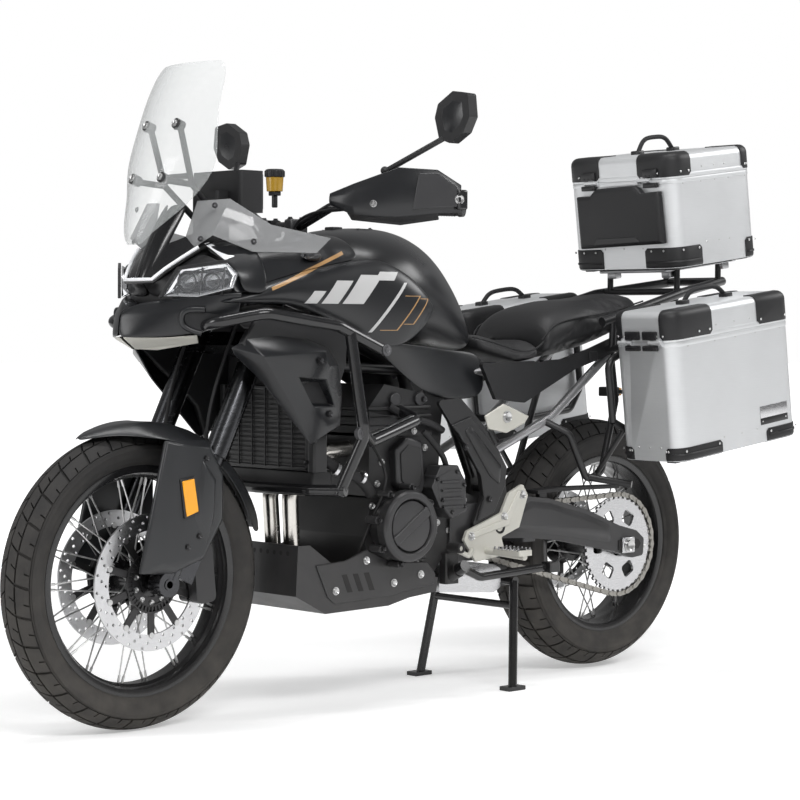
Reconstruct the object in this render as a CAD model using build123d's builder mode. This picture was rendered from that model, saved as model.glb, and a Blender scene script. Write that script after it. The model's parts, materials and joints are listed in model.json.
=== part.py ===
from build123d import *

import os
from math import asin, atan2, cos, degrees, hypot, pi, radians, sin, sqrt, tan

# Adventure motorcycle with three metal cases, standing upright on its centre stand.
# Millimetres. +X points forward, +Y to the rider's left, +Z up. The origin lies on the
# floor under the middle of the machine's overall length.

# ---------------------------------------------------------------- driving dimensions
WHEELBASE = 1465.0
FRONT_AXLE_X = 795.0            # places the origin under the middle of the overall length
REAR_LIFT = 5.0                 # rear tyre's height over the floor while on the stand

FRONT_TYRE_RADIUS = 329.5
FRONT_TYRE_WIDTH = 112.0
FRONT_RIM_RADIUS = 254.0        # over the rim's edge
FRONT_RIM_WIDTH = 77.0
REAR_TYRE_RADIUS = 321.0
REAR_TYRE_WIDTH = 150.0
REAR_RIM_RADIUS = 229.0
REAR_RIM_WIDTH = 124.0
RIM_DEPTH = 28.0                # radial depth of a rim's section
RIM_WALL = 3.5
SPOKE_RADIUS = 2.2
SPOKE_PAIRS = 9                 # spokes on a wheel = 4 x this

RAKE = 26.0                     # steering axis from the vertical, degrees
AXLE_LEAD = 7.0                 # front axle ahead of the fork legs' centre line
CLAMP_OFFSET = 38.0             # fork legs ahead of the steering axis
FORK_HALF_TRACK = 115.0
SLIDER_RADIUS = 21.5
OUTER_TUBE_RADIUS = 27.0
STEERING_STOP = 33.0            # degrees each way

FRONT_AXLE_RADIUS = 12.5
REAR_AXLE_RADIUS = 12.0
AXLE_BORE_RADIUS = 8.0          # through the hollow front axle
RUNNING_CLEARANCE = 0.05        # radial, shafts in their bores
SEAT_GAP = 0.3                  # between pieces that sit on each other

DISC_RADIUS = 150.0
DISC_THICKNESS = 5.0
DISC_OFFSET = 69.0              # disc's mid plane from the wheel's mid plane
REAR_DISC_RADIUS = 130.0
REAR_DISC_OFFSET = -94.0

SPROCKET_RADIUS = 125.0
SPROCKET_THICKNESS = 7.0
SPROCKET_OFFSET = 105.0
DRIVE_SPROCKET_RADIUS = 38.0
CHAIN_WIDTH = 17.0
CHAIN_DEPTH = 14.0

CASE_PITCH = 7.2                # cases and rack rise to the rear by this angle, degrees
CASE_WALL = 3.0
PANNIER_LENGTH = 463.0
PANNIER_WIDTH = 209.0
PANNIER_BOX_HEIGHT = 293.0
PANNIER_LID_HEIGHT = 76.0
PANNIER_INNER_Y = 252.0
TOP_CASE_LENGTH = 332.0
TOP_CASE_WIDTH = 373.0
TOP_CASE_BOX_HEIGHT = 232.0
TOP_CASE_LID_HEIGHT = 66.0
CASE_CORNER_RADIUS = 40.0

# ---------------------------------------------------------------- derived places
REAR_AXLE_X = FRONT_AXLE_X - WHEELBASE
FRONT_AXLE_Z = FRONT_TYRE_RADIUS
REAR_AXLE_Z = REAR_TYRE_RADIUS + REAR_LIFT

STEER_UP = Vector(-sin(radians(RAKE)), 0, cos(radians(RAKE)))
STEER_AHEAD = Vector(cos(radians(RAKE)), 0, sin(radians(RAKE)))
FRONT_AXLE = Vector(FRONT_AXLE_X, 0, FRONT_AXLE_Z)
REAR_AXLE = Vector(REAR_AXLE_X, 0, REAR_AXLE_Z)
STEM_LEAD = -AXLE_LEAD - CLAMP_OFFSET

os.makedirs("parts", exist_ok=True)


def steering_point(ahead, up, side=0.0):
    """A point given ahead of and up from the front axle, along the steering axis."""
    return FRONT_AXLE + STEER_AHEAD * ahead + STEER_UP * up + Vector(0, side, 0)


def steering_plane(ahead, up, side=0.0):
    """A plane square to the steering axis; its local x points ahead."""
    return Plane(origin=steering_point(ahead, up, side), x_dir=STEER_AHEAD, z_dir=STEER_UP)


def side_plane(y):
    """A plane at this Y whose local x and y are the machine's X and Z; it faces -Y."""
    return Plane(origin=(0, y, 0), x_dir=(1, 0, 0), z_dir=(0, -1, 0))


def cross_plane(x):
    """A plane across the machine at this X; its local x and y are Y and Z."""
    return Plane(origin=(x, 0, 0), x_dir=(0, 1, 0), z_dir=(1, 0, 0))


def wheel_plane(axle):
    """The plane for a wheel's half section: local x runs along the axle, local y up."""
    return Plane(origin=axle, x_dir=(0, 1, 0), z_dir=(1, 0, 0))


def rounded_section(plane, outline, corner):
    """A closed outline of straight sides with every corner rounded."""
    with BuildSketch(plane) as section:
        with BuildLine():
            Polyline(*outline, close=True)
        make_face()
        fillet(section.vertices(), corner)
    return section.sketch


def plate(outline, y_low, y_high, corner=0.0):
    """A flat plate seen from the side: outline in X and Z, between two values of Y."""
    with BuildPart() as flat:
        with BuildSketch(side_plane(y_high)) as face:
            with BuildLine():
                Polyline(*outline, close=True)
            make_face()
            if corner:
                fillet(face.vertices(), corner)
        extrude(amount=y_high - y_low)
    return flat.part


def tube(points, radius, bend=0.0):
    """A round bar along straight runs joined by arcs."""
    with BuildPart() as bar:
        with BuildLine() as route:
            if bend and len(points) > 2:
                FilletPolyline(*points, radius=bend)
            else:
                Polyline(*points)
        with BuildSketch(Plane(origin=route.line @ 0, z_dir=route.line % 0)):
            Circle(radius)
        sweep(path=route.line)
    return bar.part


def rod(start, end, radius, inner=0.0):
    """A straight round bar from one point to another."""
    run = Vector(*end) - Vector(*start)
    with BuildPart() as bar:
        with BuildSketch(Plane(origin=start, z_dir=run)):
            Circle(radius)
            if inner:
                Circle(inner, mode=Mode.SUBTRACT)
        extrude(amount=run.length)
    return bar.part


def block(low, high, corner=0.0):
    """An upright box between two corners, its upright edges rounded."""
    size = [top - bottom for bottom, top in zip(low, high)]
    with BuildPart() as body:
        with Locations(tuple((bottom + top) / 2 for bottom, top in zip(low, high))):
            Box(*size)
        if corner:
            fillet(body.edges().filter_by(Axis.Z), corner)
    return body.part


def finish(builder, name):
    """Label a finished piece and write it."""
    assert builder.part.volume > 0, name
    builder.part.label = name
    export_step(builder.part, f"parts/{name}.step")


# ---------------------------------------------------------------- wheels
def build_tyre(axle, radius, width, rim_radius, rim_width):
    """A tyre: beads between the rim's edges, full walls and a crowned tread."""
    bead_half = rim_width / 2 - RIM_WALL - SEAT_GAP
    bead_radius = rim_radius - RIM_DEPTH * 0.55
    wall_radius = (rim_radius + radius) / 2 + 4
    with BuildPart() as tyre:
        with BuildSketch(wheel_plane(axle)):
            with BuildLine():
                Polyline(
                    (bead_half, rim_radius + SEAT_GAP),
                    (bead_half, bead_radius),
                    (-bead_half, bead_radius),
                    (-bead_half, rim_radius + SEAT_GAP),
                )
                ThreePointArc(
                    (-bead_half, rim_radius + SEAT_GAP),
                    (-width / 2 + 1.5, wall_radius - 14),
                    (-width / 2 + 2, wall_radius + 8),
                )
                ThreePointArc(
                    (-width / 2 + 2, wall_radius + 8), (0, radius), (width / 2 - 2, wall_radius + 8)
                )
                ThreePointArc(
                    (width / 2 - 2, wall_radius + 8),
                    (width / 2 - 1.5, wall_radius - 14),
                    (bead_half, rim_radius + SEAT_GAP),
                )
            make_face()
        revolve(axis=Axis(axle, (0, 1, 0)))
    return tyre


def build_wire_wheel(axle, rim_radius, rim_width, hub_steps, bore, flange_half, flange_radius):
    """A rim, a turned hub and crossed wire spokes, in one piece."""
    half = rim_width / 2
    floor_radius = rim_radius - RIM_DEPTH * 0.55 - SEAT_GAP
    well_radius = rim_radius - RIM_DEPTH
    with BuildPart() as wheel:
        with BuildSketch(wheel_plane(axle)):
            with BuildLine():
                Polyline(
                    (half, rim_radius), (half, floor_radius - RIM_WALL), (half * 0.4, well_radius),
                    (-half * 0.4, well_radius), (-half, floor_radius - RIM_WALL), (-half, rim_radius),
                    (-half + RIM_WALL, rim_radius), (-half + RIM_WALL, floor_radius),
                    (half - RIM_WALL, floor_radius), (half - RIM_WALL, rim_radius),
                    close=True,
                )
            make_face()
        revolve(axis=Axis(axle, (0, 1, 0)))
        with BuildSketch(wheel_plane(axle)):
            with BuildLine():
                outline = [(hub_steps[0][0], bore)]
                for start, end, radius in hub_steps:
                    outline += [(start, radius), (end, radius)]
                outline.append((hub_steps[-1][1], bore))
                Polyline(*outline, close=True)
            make_face()
        revolve(axis=Axis(axle, (0, 1, 0)))
        step = 360 / SPOKE_PAIRS
        reach = well_radius + 1.5
        spokes = []
        for count in range(SPOKE_PAIRS):
            for side in (1, -1):
                for turn in (1, -1):
                    at_hub = radians(step * (count + 0.25 * side + 0.12 * turn))
                    at_rim = at_hub + turn * radians(34)
                    foot = axle + Vector(
                        (flange_radius - 4) * sin(at_hub), side * flange_half, (flange_radius - 4) * cos(at_hub)
                    )
                    head = axle + Vector(reach * sin(at_rim), side * 7, reach * cos(at_rim))
                    spokes.append(rod(foot, head, SPOKE_RADIUS))
        add(spokes)
    return wheel


FRONT_HUB_STEPS = (             # from Y, to Y, radius
    (-66.5, -60, 44), (-60, -38, 24), (-38, -32, 42), (-32, 32, 26),
    (32, 38, 42), (38, 60, 24), (60, 66.5, 44),
)
REAR_HUB_STEPS = (
    (-91.5, -84, 48), (-84, -58, 30), (-58, -52, 56), (-52, 52, 38),
    (52, 58, 56), (58, 90, 34), (90, 101.5, 62),
)

front_tyre = build_tyre(FRONT_AXLE, FRONT_TYRE_RADIUS, FRONT_TYRE_WIDTH, FRONT_RIM_RADIUS, FRONT_RIM_WIDTH)
rear_tyre = build_tyre(REAR_AXLE, REAR_TYRE_RADIUS, REAR_TYRE_WIDTH, REAR_RIM_RADIUS, REAR_RIM_WIDTH)
front_wheel = build_wire_wheel(
    FRONT_AXLE, FRONT_RIM_RADIUS, FRONT_RIM_WIDTH, FRONT_HUB_STEPS,
    FRONT_AXLE_RADIUS + RUNNING_CLEARANCE, 35, 42,
)
rear_wheel = build_wire_wheel(
    REAR_AXLE, REAR_RIM_RADIUS, REAR_RIM_WIDTH, REAR_HUB_STEPS,
    REAR_AXLE_RADIUS + RUNNING_CLEARANCE, 55, 56,
)


def build_disc(axle, offsets, radius, inner, bore, holes):
    """Brake discs with a spider, windows and a ring of drilled holes."""
    with BuildPart() as discs:
        for offset in offsets:
            near = offset + DISC_THICKNESS / 2
            with BuildSketch(side_plane(near)):
                with Locations((axle.X, axle.Z)):
                    Circle(radius)
                    Circle(bore, mode=Mode.SUBTRACT)
                    with PolarLocations((inner + bore) / 2 + 6, 6):
                        RectangleRounded(inner - bore - 32, 38, 8, mode=Mode.SUBTRACT)
                    with PolarLocations((inner + radius) / 2, holes):
                        Circle(5, mode=Mode.SUBTRACT)
            extrude(amount=DISC_THICKNESS)
    return discs


front_discs = build_disc(
    FRONT_AXLE, (DISC_OFFSET, -DISC_OFFSET), DISC_RADIUS, DISC_RADIUS - 38, 30, 24
)
rear_disc = build_disc(REAR_AXLE, (REAR_DISC_OFFSET,), REAR_DISC_RADIUS, REAR_DISC_RADIUS - 36, 30, 20)

TEETH = 42
with BuildPart() as sprocket:
    near = SPROCKET_OFFSET + SPROCKET_THICKNESS / 2
    with BuildSketch(side_plane(near)):
        with Locations((REAR_AXLE_X, REAR_AXLE_Z)):
            Circle(SPROCKET_RADIUS - 7)
            Circle(30, mode=Mode.SUBTRACT)
            with PolarLocations(76, 6):
                RectangleRounded(34, 40, 9, mode=Mode.SUBTRACT)
            with PolarLocations(SPROCKET_RADIUS - 4.5, TEETH):
                Rectangle(9, 8.5)
    extrude(amount=SPROCKET_THICKNESS)

for piece, name in (
    (front_tyre, "front_tyre"), (rear_tyre, "rear_tyre"), (front_wheel, "front_wheel"),
    (rear_wheel, "rear_wheel"), (front_discs, "front_discs"), (rear_disc, "rear_disc"),
    (sprocket, "sprocket"),
):
    finish(piece, name)

# ---------------------------------------------------------------- fork and steering
LOWER_YOKE_UP = 590.0
UPPER_YOKE_UP = 810.0
FORK_TOP_UP = 838.0
OUTER_TUBE_FROM = 305.0
LOWER_YOKE_THICKNESS = 34.0
UPPER_YOKE_THICKNESS = 26.0
STEM_RADIUS = 20.0
HEAD_TUBE_RADIUS = 31.0
AXLE_HALF_LENGTH = 138.0
AXLE_LUG_INNER = 94.0

with BuildPart() as fork:
    for side in (1, -1):
        y = side * FORK_HALF_TRACK
        add(rod(steering_point(-AXLE_LEAD, 4, y), steering_point(-AXLE_LEAD, OUTER_TUBE_FROM, y), SLIDER_RADIUS))
        add(
            rod(
                steering_point(-AXLE_LEAD, OUTER_TUBE_FROM, y),
                steering_point(-AXLE_LEAD, FORK_TOP_UP, y), OUTER_TUBE_RADIUS,
            )
        )
        add(rod(FRONT_AXLE + Vector(0, side * AXLE_LUG_INNER, 0), FRONT_AXLE + Vector(0, side * 136, 0), 27))
        # lug that carries the caliper, behind the leg's foot
        with BuildSketch(steering_plane(-AXLE_LEAD, 28, y)):
            with Locations((-38, -side * 12)):
                Rectangle(60, 16)
        extrude(amount=74)
        add(rod(FRONT_AXLE + Vector(0, side * 72, 0), FRONT_AXLE + Vector(0, side * 96, 0), 19))
    axle_reach = Vector(0, AXLE_HALF_LENGTH, 0)
    add(rod(FRONT_AXLE - axle_reach, FRONT_AXLE + axle_reach, FRONT_AXLE_RADIUS))
    add(
        rod(FRONT_AXLE - axle_reach * 1.01, FRONT_AXLE + axle_reach * 1.01, AXLE_BORE_RADIUS),
        mode=Mode.SUBTRACT,
    )
    add(rod(steering_point(STEM_LEAD, LOWER_YOKE_UP), steering_point(STEM_LEAD, UPPER_YOKE_UP), STEM_RADIUS))
    for up, thickness in ((LOWER_YOKE_UP, LOWER_YOKE_THICKNESS), (UPPER_YOKE_UP, UPPER_YOKE_THICKNESS)):
        with BuildSketch(steering_plane(-AXLE_LEAD, up - thickness / 2)) as yoke:
            with Locations((0, FORK_HALF_TRACK), (0, -FORK_HALF_TRACK)):
                Circle(OUTER_TUBE_RADIUS + 9)
            with Locations((-CLAMP_OFFSET, 0)):
                Circle(STEM_RADIUS + 16)
            with Locations((-CLAMP_OFFSET * 0.45, 0)):
                RectangleRounded(46, 2 * FORK_HALF_TRACK, 12)
        extrude(amount=thickness)
finish(fork, "fork")

with BuildPart() as front_calipers:
    for side in (1, -1):
        with BuildSketch(side_plane(side * DISC_OFFSET + 34)):
            with Locations(Location((FRONT_AXLE_X - 122, FRONT_AXLE_Z + 12), -96)):
                RectangleRounded(128, 52, 14)
        extrude(amount=68)
        with BuildSketch(side_plane(side * DISC_OFFSET + DISC_THICKNESS / 2 + 3)):
            with Locations((FRONT_AXLE_X, FRONT_AXLE_Z)):
                Circle(DISC_RADIUS + 4)
        extrude(amount=DISC_THICKNESS + 6, mode=Mode.SUBTRACT)
    add(fork.part, mode=Mode.SUBTRACT)
finish(front_calipers, "front_calipers")

FENDER_WALL = 4.0
FENDER_HALF = 78.0


def fender_arc(gap, half, start, end):
    """A channel over the front tyre, from start to end degrees ahead of the top of the wheel."""
    inner = FRONT_TYRE_RADIUS + gap
    outline = (
        (-half, inner - 42), (-half * 0.84, inner - 10), (0, inner), (half * 0.84, inner - 10), (half, inner - 42),
        (half + 4, inner - 41), (half * 0.84 + 4, inner - 6), (0, inner + FENDER_WALL), (-half * 0.84 - 4, inner - 6),
        (-half - 4, inner - 41),
    )
    with BuildPart() as arc:
        with BuildSketch(wheel_plane(FRONT_AXLE)):
            Polygon(*outline, align=None)
        revolve(axis=Axis(FRONT_AXLE, (0, 1, 0)), revolution_arc=end - start)
    return arc.part.rotate(Axis(FRONT_AXLE, (0, 1, 0)), start)


with BuildPart() as front_fender:
    add(fender_arc(20, FENDER_HALF, -32, 12))
    add(fender_arc(20, FENDER_HALF - 22, 11, 21))
    add(fender_arc(17, FENDER_HALF - 6, -74, -31))
    guard = (
        (688, 636), (648, 568), (648, 462), (704, 377), (788, 353), (868, 357),
        (850, 413), (812, 540), (794, 640),
    )
    shoulder = ((688, 590), (680, 640), (712, 662), (796, 668), (806, 630), (808, 560), (760, 560), (740, 600))
    for side in (1, -1):
        low, high = sorted((side * 145, side * 151))
        add(plate(guard, low, high, 8))
        low, high = sorted((side * 74, side * 146))
        add(plate(((688, 600), (680, 640), (712, 655), (796, 660), (806, 620), (790, 634), (716, 628)), low, high, 3))
        # bosses that bolt it to the fork legs
        for x, z in ((742, 426), (700, 512)):
            add(rod((x, side * 128, z), (x, side * 146, z), 9))
    add(fork.part, mode=Mode.SUBTRACT)
finish(front_fender, "front_fender")

BAR_RADIUS = 11.0
GRIP_RADIUS = 17.0
BAR_PATH = (                    # X, Y, Z of the left half
    (366, 62, 1117), (350, 150, 1157), (331, 205, 1160), (207, 425, 1150),
)
with BuildPart() as handlebar:
    right = [(x, -y, z) for x, y, z in reversed(BAR_PATH)]
    add(tube(right + list(BAR_PATH), BAR_RADIUS, 20))
    for side in (1, -1):
        foot = steering_point(STEM_LEAD + 6, UPPER_YOKE_UP + UPPER_YOKE_THICKNESS / 2 - 0.5, side * 40)
        add(rod(foot, (366, side * 40, 1106), 15))
        add(block((352, side * 40 - 16, 1104), (382, side * 40 + 16, 1132), 4))
    add(fork.part, mode=Mode.SUBTRACT)
finish(handlebar, "handlebar")


def along_grip(distance, side=1, lift=0.0, ahead=0.0):
    """A point on the grip's line, measured from its inner bend outwards."""
    start = Vector(*BAR_PATH[2])
    run = (Vector(*BAR_PATH[3]) - start).normalized()
    spot = start + run * distance
    return Vector(spot.X + ahead, side * spot.Y, spot.Z + lift)


with BuildPart() as hand_controls:
    for side in (1, -1):
        inner_bore = BAR_RADIUS + SEAT_GAP / 2
        add(rod(along_grip(118, side), along_grip(250, side), GRIP_RADIUS))
        add(rod(along_grip(62, side), along_grip(112, side), 24))
        add(rod(along_grip(111, side), along_grip(119, side), 20))
        add(tube([along_grip(60, side), along_grip(63, side)], 20))
        # lever ahead of the grip
        lever_root = along_grip(84, side, -4, 36)
        lever_tip = along_grip(226, side, -8, 36)
        add(rod(along_grip(84, side), lever_root, 10))
        add(rod(lever_root, lever_tip, 6))
    for side in (1, -1):
        add(rod(along_grip(-4, side), along_grip(255, side), inner_bore), mode=Mode.SUBTRACT)
finish(hand_controls, "hand_controls")

MIRROR_MID = Vector(205, 410, 1356)
RIGHT_MIRROR_DROP = 22.0        # each head is set on its own ball joint
with BuildPart() as mirrors:
    for side in (1, -1):
        drop = 0 if side > 0 else RIGHT_MIRROR_DROP
        root = along_grip(76, side, 18)
        add(rod(root, root + Vector(0, 0, 14), 11))
        add(rod(root, root + Vector(0, 0, 66), 7))
        root = root + Vector(0, 0, 60)
        head = Vector(MIRROR_MID.X - 6, side * MIRROR_MID.Y - side * 34, MIRROR_MID.Z - drop - 42)
        add(rod(root, head, 6.5))
        with BuildSketch(cross_plane(MIRROR_MID.X - 20)) as face:
            with BuildLine():
                Polyline(
                    *[
                        (side * y, z - drop) for y, z in (
                            (346, 1356), (356, 1386), (404, 1412), (452, 1404), (458, 1352),
                            (438, 1318), (396, 1296), (360, 1308),
                        )
                    ],
                    close=True,
                )
            make_face()
            fillet(face.vertices(), 8)
        extrude(amount=26)
    add(hand_controls.part, mode=Mode.SUBTRACT)
finish(mirrors, "mirrors")

with BuildPart() as handguards:
    for side in (1, -1):
        outline = (                # X, Y of the shield's line, and its lower and upper Z
            (398, 204, 1160, 1184), (372, 258, 1134, 1206), (318, 344, 1130, 1240),
            (262, 410, 1138, 1234), (222, 444, 1140, 1200),
        )
        sections = []
        for x, y, low, high in outline:
            plane = Plane(origin=(x, side * y, (low + high) / 2), x_dir=(0, 0, 1), z_dir=(-0.62, side * 0.78, 0))
            with BuildSketch(plane) as section:
                Rectangle(high - low, 5)
            sections.append(section.sketch)
        loft(sections=sections, ruled=True)
        add(rod(along_grip(252.6, side), along_grip(264, side), 16))
        add(rod(along_grip(258, side), (224, side * 441, 1166), 9))
    add(handlebar.part, mode=Mode.SUBTRACT)
    add(hand_controls.part, mode=Mode.SUBTRACT)
finish(handguards, "handguards")

# ---------------------------------------------------------------- frame and engine
SWINGARM_PIVOT = (-185.0, 400.0)
CENTRE_STAND_PIVOT = (-262.0, 262.0)
SIDE_STAND_HINGE = Vector(-40, 180, 312)
SIDE_STAND_AXIS = Vector(0, -0.9, -0.435).normalized()   # tilted, so that the leg swings out
PIVOT_SHAFT_RADIUS = 10.0
STAND_TUBE_RADIUS = 11.0
FRAME_TUBE = 15.0
FRAME_SPINE_Y = 62.0
FRAME_PLATE_Y = 144.0
FRAME_PLATE_THICKNESS = 10.0
HEEL_PLATE_THICKNESS = 8.0
HEEL_PLATE_Y = FRAME_PLATE_Y + FRAME_PLATE_THICKNESS

with BuildPart() as frame:
    add(rod(steering_point(STEM_LEAD, 613), steering_point(STEM_LEAD, 791), HEAD_TUBE_RADIUS))
    add(
        rod(steering_point(STEM_LEAD, 600), steering_point(STEM_LEAD, 800), STEM_RADIUS + RUNNING_CLEARANCE),
        mode=Mode.SUBTRACT,
    )
    for side in (1, -1):
        upper = steering_point(STEM_LEAD - 24, 740, side * 16)
        lower = steering_point(STEM_LEAD - 24, 650, side * 16)
        spine = side * FRAME_SPINE_Y
        add(tube([upper, (250, spine, 900), (-60, spine, 790), (-172, side * 76, 520)], FRAME_TUBE, 60))
        add(tube([lower, (350, spine, 800), (180, spine, 792), (-50, spine, 780)], 12, 20))
    for side in (1, -1):
        low, high = sorted((side * 66, side * 86))
        gusset = (
            (-160, 540), (-222, 540), (-214, 440), (-214, 350), (-286, 300),
            (-286, 244), (-246, 244), (-240, 318), (-154, 346), (-154, 440),
        )
        add(plate(gusset, low, high, 8))
        # outer plate from under the tank down to the pivot, and the two bosses it bolts to
        low, high = sorted((side * FRAME_PLATE_Y, side * (FRAME_PLATE_Y + FRAME_PLATE_THICKNESS)))
        outer = (
            (20, 712), (-60, 716), (-136, 650), (-206, 556), (-216, 480), (-170, 410),
            (-98, 404), (-134, 480), (-122, 540), (-40, 640),
        )
        add(plate(outer, low, high, 8))
        for x, z in ((-174, 492), (-192, 560)):
            add(rod((x, side * 70, z), (x, side * (FRAME_PLATE_Y + 1), z), 8))
    for x, z, radius in (
        (*SWINGARM_PIVOT, PIVOT_SHAFT_RADIUS + SEAT_GAP),
        (*CENTRE_STAND_PIVOT, STAND_TUBE_RADIUS + RUNNING_CLEARANCE),
    ):
        add(rod((x, -95, z), (x, 95, z), radius), mode=Mode.SUBTRACT)
finish(frame, "frame")

CHAIN_INNER_Y = SPROCKET_OFFSET - CHAIN_WIDTH / 2
CRANKCASE_HALF = 132.0
with BuildPart() as engine:
    crankcase = ((-130, 334), (-146, 470), (-60, 500), (206, 490), (228, 400), (214, 292), (16, 292), (-16, 330))
    add(plate(crankcase, -CRANKCASE_HALF, CRANKCASE_HALF, 12))
    barrel = ((-8, 480), (-26, 640), (206, 690), (206, 492))
    add(plate(barrel, -122, 122))
    head = ((-30, 636), (-44, 716), (150, 752), (206, 690), (206, 630))
    add(plate(head, -112, 112))
    # recess for the drive sprocket and chain
    add(block((-180, CHAIN_INNER_Y - 8, 325), (-50, CRANKCASE_HALF + 1, 458)), mode=Mode.SUBTRACT)
    # lug that carries the side stand
    add(block((-62, CRANKCASE_HALF - 10, 272), (-18, SIDE_STAND_HINGE.Y - 32, 346), 5))
    add(rod(SIDE_STAND_HINGE + SIDE_STAND_AXIS * 13.3, SIDE_STAND_HINGE + SIDE_STAND_AXIS * 52, 17))
    add(frame.part, mode=Mode.SUBTRACT)
finish(engine, "engine")

ALTERNATOR = (150.0, 422.0)
with BuildPart() as engine_covers:
    with BuildSketch(side_plane(196)):
        with Locations(ALTERNATOR):
            Circle(63)
    extrude(amount=196 - CRANKCASE_HALF)
    with BuildSketch(side_plane(202)):
        with Locations(Location(ALTERNATOR, 8)):
            RectangleRounded(104, 26, 6)
    extrude(amount=10)
    with BuildSketch(side_plane(176)):
        with Locations((-2, 508)):
            RegularPolygon(58, 6)
    extrude(amount=176 - CRANKCASE_HALF)
    with BuildSketch(side_plane(CRANKCASE_HALF + 8)):
        with Locations((-90, 392)):
            RectangleRounded(104, 140, 20)
    extrude(amount=8)
    with BuildSketch(side_plane(-CRANKCASE_HALF)):
        with Locations((70, 400)):
            RectangleRounded(220, 170, 60)
    extrude(amount=48)
    add(engine.part, mode=Mode.SUBTRACT)
    add(frame.part, mode=Mode.SUBTRACT)
finish(engine_covers, "engine_covers")

RADIATOR_X = (380.0, 414.0)
with BuildPart() as radiator:
    add(block((RADIATOR_X[0], -150, 566), (RADIATOR_X[1], 150, 742)))
    for side in (1, -1):
        low, high = sorted((side * 150, side * 172))
        add(block((RADIATOR_X[0] - 4, low, 558), (RADIATOR_X[1] + 4, high, 750), 6))
    with BuildSketch(cross_plane(RADIATOR_X[1])):
        with Locations((0, 654)):
            with GridLocations(1, 11, 1, 15):
                Rectangle(288, 5)
    extrude(amount=-6, mode=Mode.SUBTRACT)
    for side in (1, -1):
        add(rod((392, side * 62, 740), (350, side * 62, 800), 8))
    add(frame.part, mode=Mode.SUBTRACT)
finish(radiator, "radiator")

with BuildPart() as exhaust_headers:
    for side in (1, -1):
        add(
            tube(
                [
                    (206, side * 50, 600), (290, side * 48, 596), (374, side * 36, 500),
                    (366, side * 34, 370), (310, side * 32, 266), (246, side * 30, 266),
                ],
                19, 34,
            )
        )
    add(rod((252, -50, 266), (252, 50, 266), 20))
    add(engine.part, mode=Mode.SUBTRACT)
finish(exhaust_headers, "exhaust_headers")

with BuildPart() as muffler:
    shell = ((-24, 250), (-24, 314), (-206, 306), (-232, 294), (-232, 248), (-208, 236))
    add(plate(shell, -118, 118, 8))
    add(rod((250, 0, 266), (-25, 0, 278), 12))
    add(rod((-174, -108, 270), (-214, -148, 274), 20))
    add(rod((-188, -122, 271.4), (-215, -149, 274.1), 16), mode=Mode.SUBTRACT)
    add(exhaust_headers.part, mode=Mode.SUBTRACT)
finish(muffler, "muffler")

SKID_HALF = 138.0
SKID_SHEET = 5.0
SKID_LINE = ((434, 392), (440, 282), (352, 236), (158, 240), (92, 254), (4, 262))
with BuildPart() as skid_plate:
    lower = [(x + 5, z - SKID_SHEET * (0.2 if z > 300 else 1)) for x, z in reversed(SKID_LINE)]
    add(plate(list(SKID_LINE) + lower, -SKID_HALF, SKID_HALF))
    for side in (1, -1):
        low, high = sorted((side * SKID_HALF, side * (SKID_HALF + SKID_SHEET)))
        cheek = lower + [(404, 391), (330, 340), (246, 352), (214, 322), (110, 318), (40, 300), (4, 290)]
        add(plate(cheek, low, high))
        for x in (60, 190):
            add(rod((x, side * (CRANKCASE_HALF - 1), 306), (x, side * (SKID_HALF + 1), 306), 9))
    add(engine.part, mode=Mode.SUBTRACT)
    add(engine_covers.part, mode=Mode.SUBTRACT)
finish(skid_plate, "skid_plate")

CRASH_BAR = 13.0
with BuildPart() as crash_bars:
    for side in (1, -1):
        upper_loop = [
            (700, side * 120, 884), (716, side * 186, 894), (626, side * 258, 916), (431, side * 272, 888),
            (296, side * 270, 834),
        ]
        add(tube(upper_loop, CRASH_BAR, 40))
        upright = [(396, side * 272, 872), (376, side * 292, 670), (372, side * 291, 642), (410, side * 249, 512)]
        add(tube(upright, CRASH_BAR, 26))
        rear_stay = [(374, side * 290, 655), (316, side * 250, 627), (124, side * 200, 670), (106, side * 117, 690)]
        add(tube(rear_stay, CRASH_BAR, 26))
        add(rod((106, side * 112, 690), (106, side * 120, 690), 16))
    add(tube([(402, 264, 522), (440, 180, 520), (446, 0, 518), (440, -180, 520), (402, -264, 522)], CRASH_BAR, 40))
finish(crash_bars, "crash_bars")

# ---------------------------------------------------------------- tank, seats, bodywork
TANK_SECTIONS = (               # X, then half width and Z of the lower edge, waist, shoulder and top
    (330, (150, 905), (186, 960), (170, 1020), (96, 1056)),
    (255, (165, 868), (212, 960), (190, 1050), (104, 1108)),
    (150, (160, 850), (226, 950), (186, 1060), (66, 1117)),
    (60, (138, 842), (206, 936), (150, 1052), (48, 1112)),
    (-40, (118, 832), (150, 915), (98, 1020), (34, 1072)),
    (-120, (98, 826), (100, 880), (62, 960), (26, 1010)),
    (-190, (70, 824), (66, 850), (46, 890), (20, 924)),
)
with BuildPart() as fuel_tank:
    sections = []
    for x, *levels in TANK_SECTIONS:
        outline = [(half, z) for half, z in levels] + [(-half, z) for half, z in reversed(levels)]
        sections.append(rounded_section(cross_plane(x), outline, 12))
    loft(sections=sections, ruled=True)
    add(rod((170, 0, 1100), (170, 0, 1124), 52))
    add(frame.part, mode=Mode.SUBTRACT)
finish(fuel_tank, "fuel_tank")

with BuildPart() as rider_seat:
    sections = []
    for x, half, z_low, z_top in (
        (-193, 78, 824, 878), (-245, 110, 806, 850), (-300, 138, 797, 826), (-340, 148, 798, 834),
        (-364, 148, 800, 866),
    ):
        outline = ((-half, z_low), (half, z_low), (half * 0.86, z_top), (-half * 0.86, z_top))
        sections.append(rounded_section(cross_plane(x), outline, 14))
    loft(sections=sections, ruled=True)
finish(rider_seat, "rider_seat")

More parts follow.
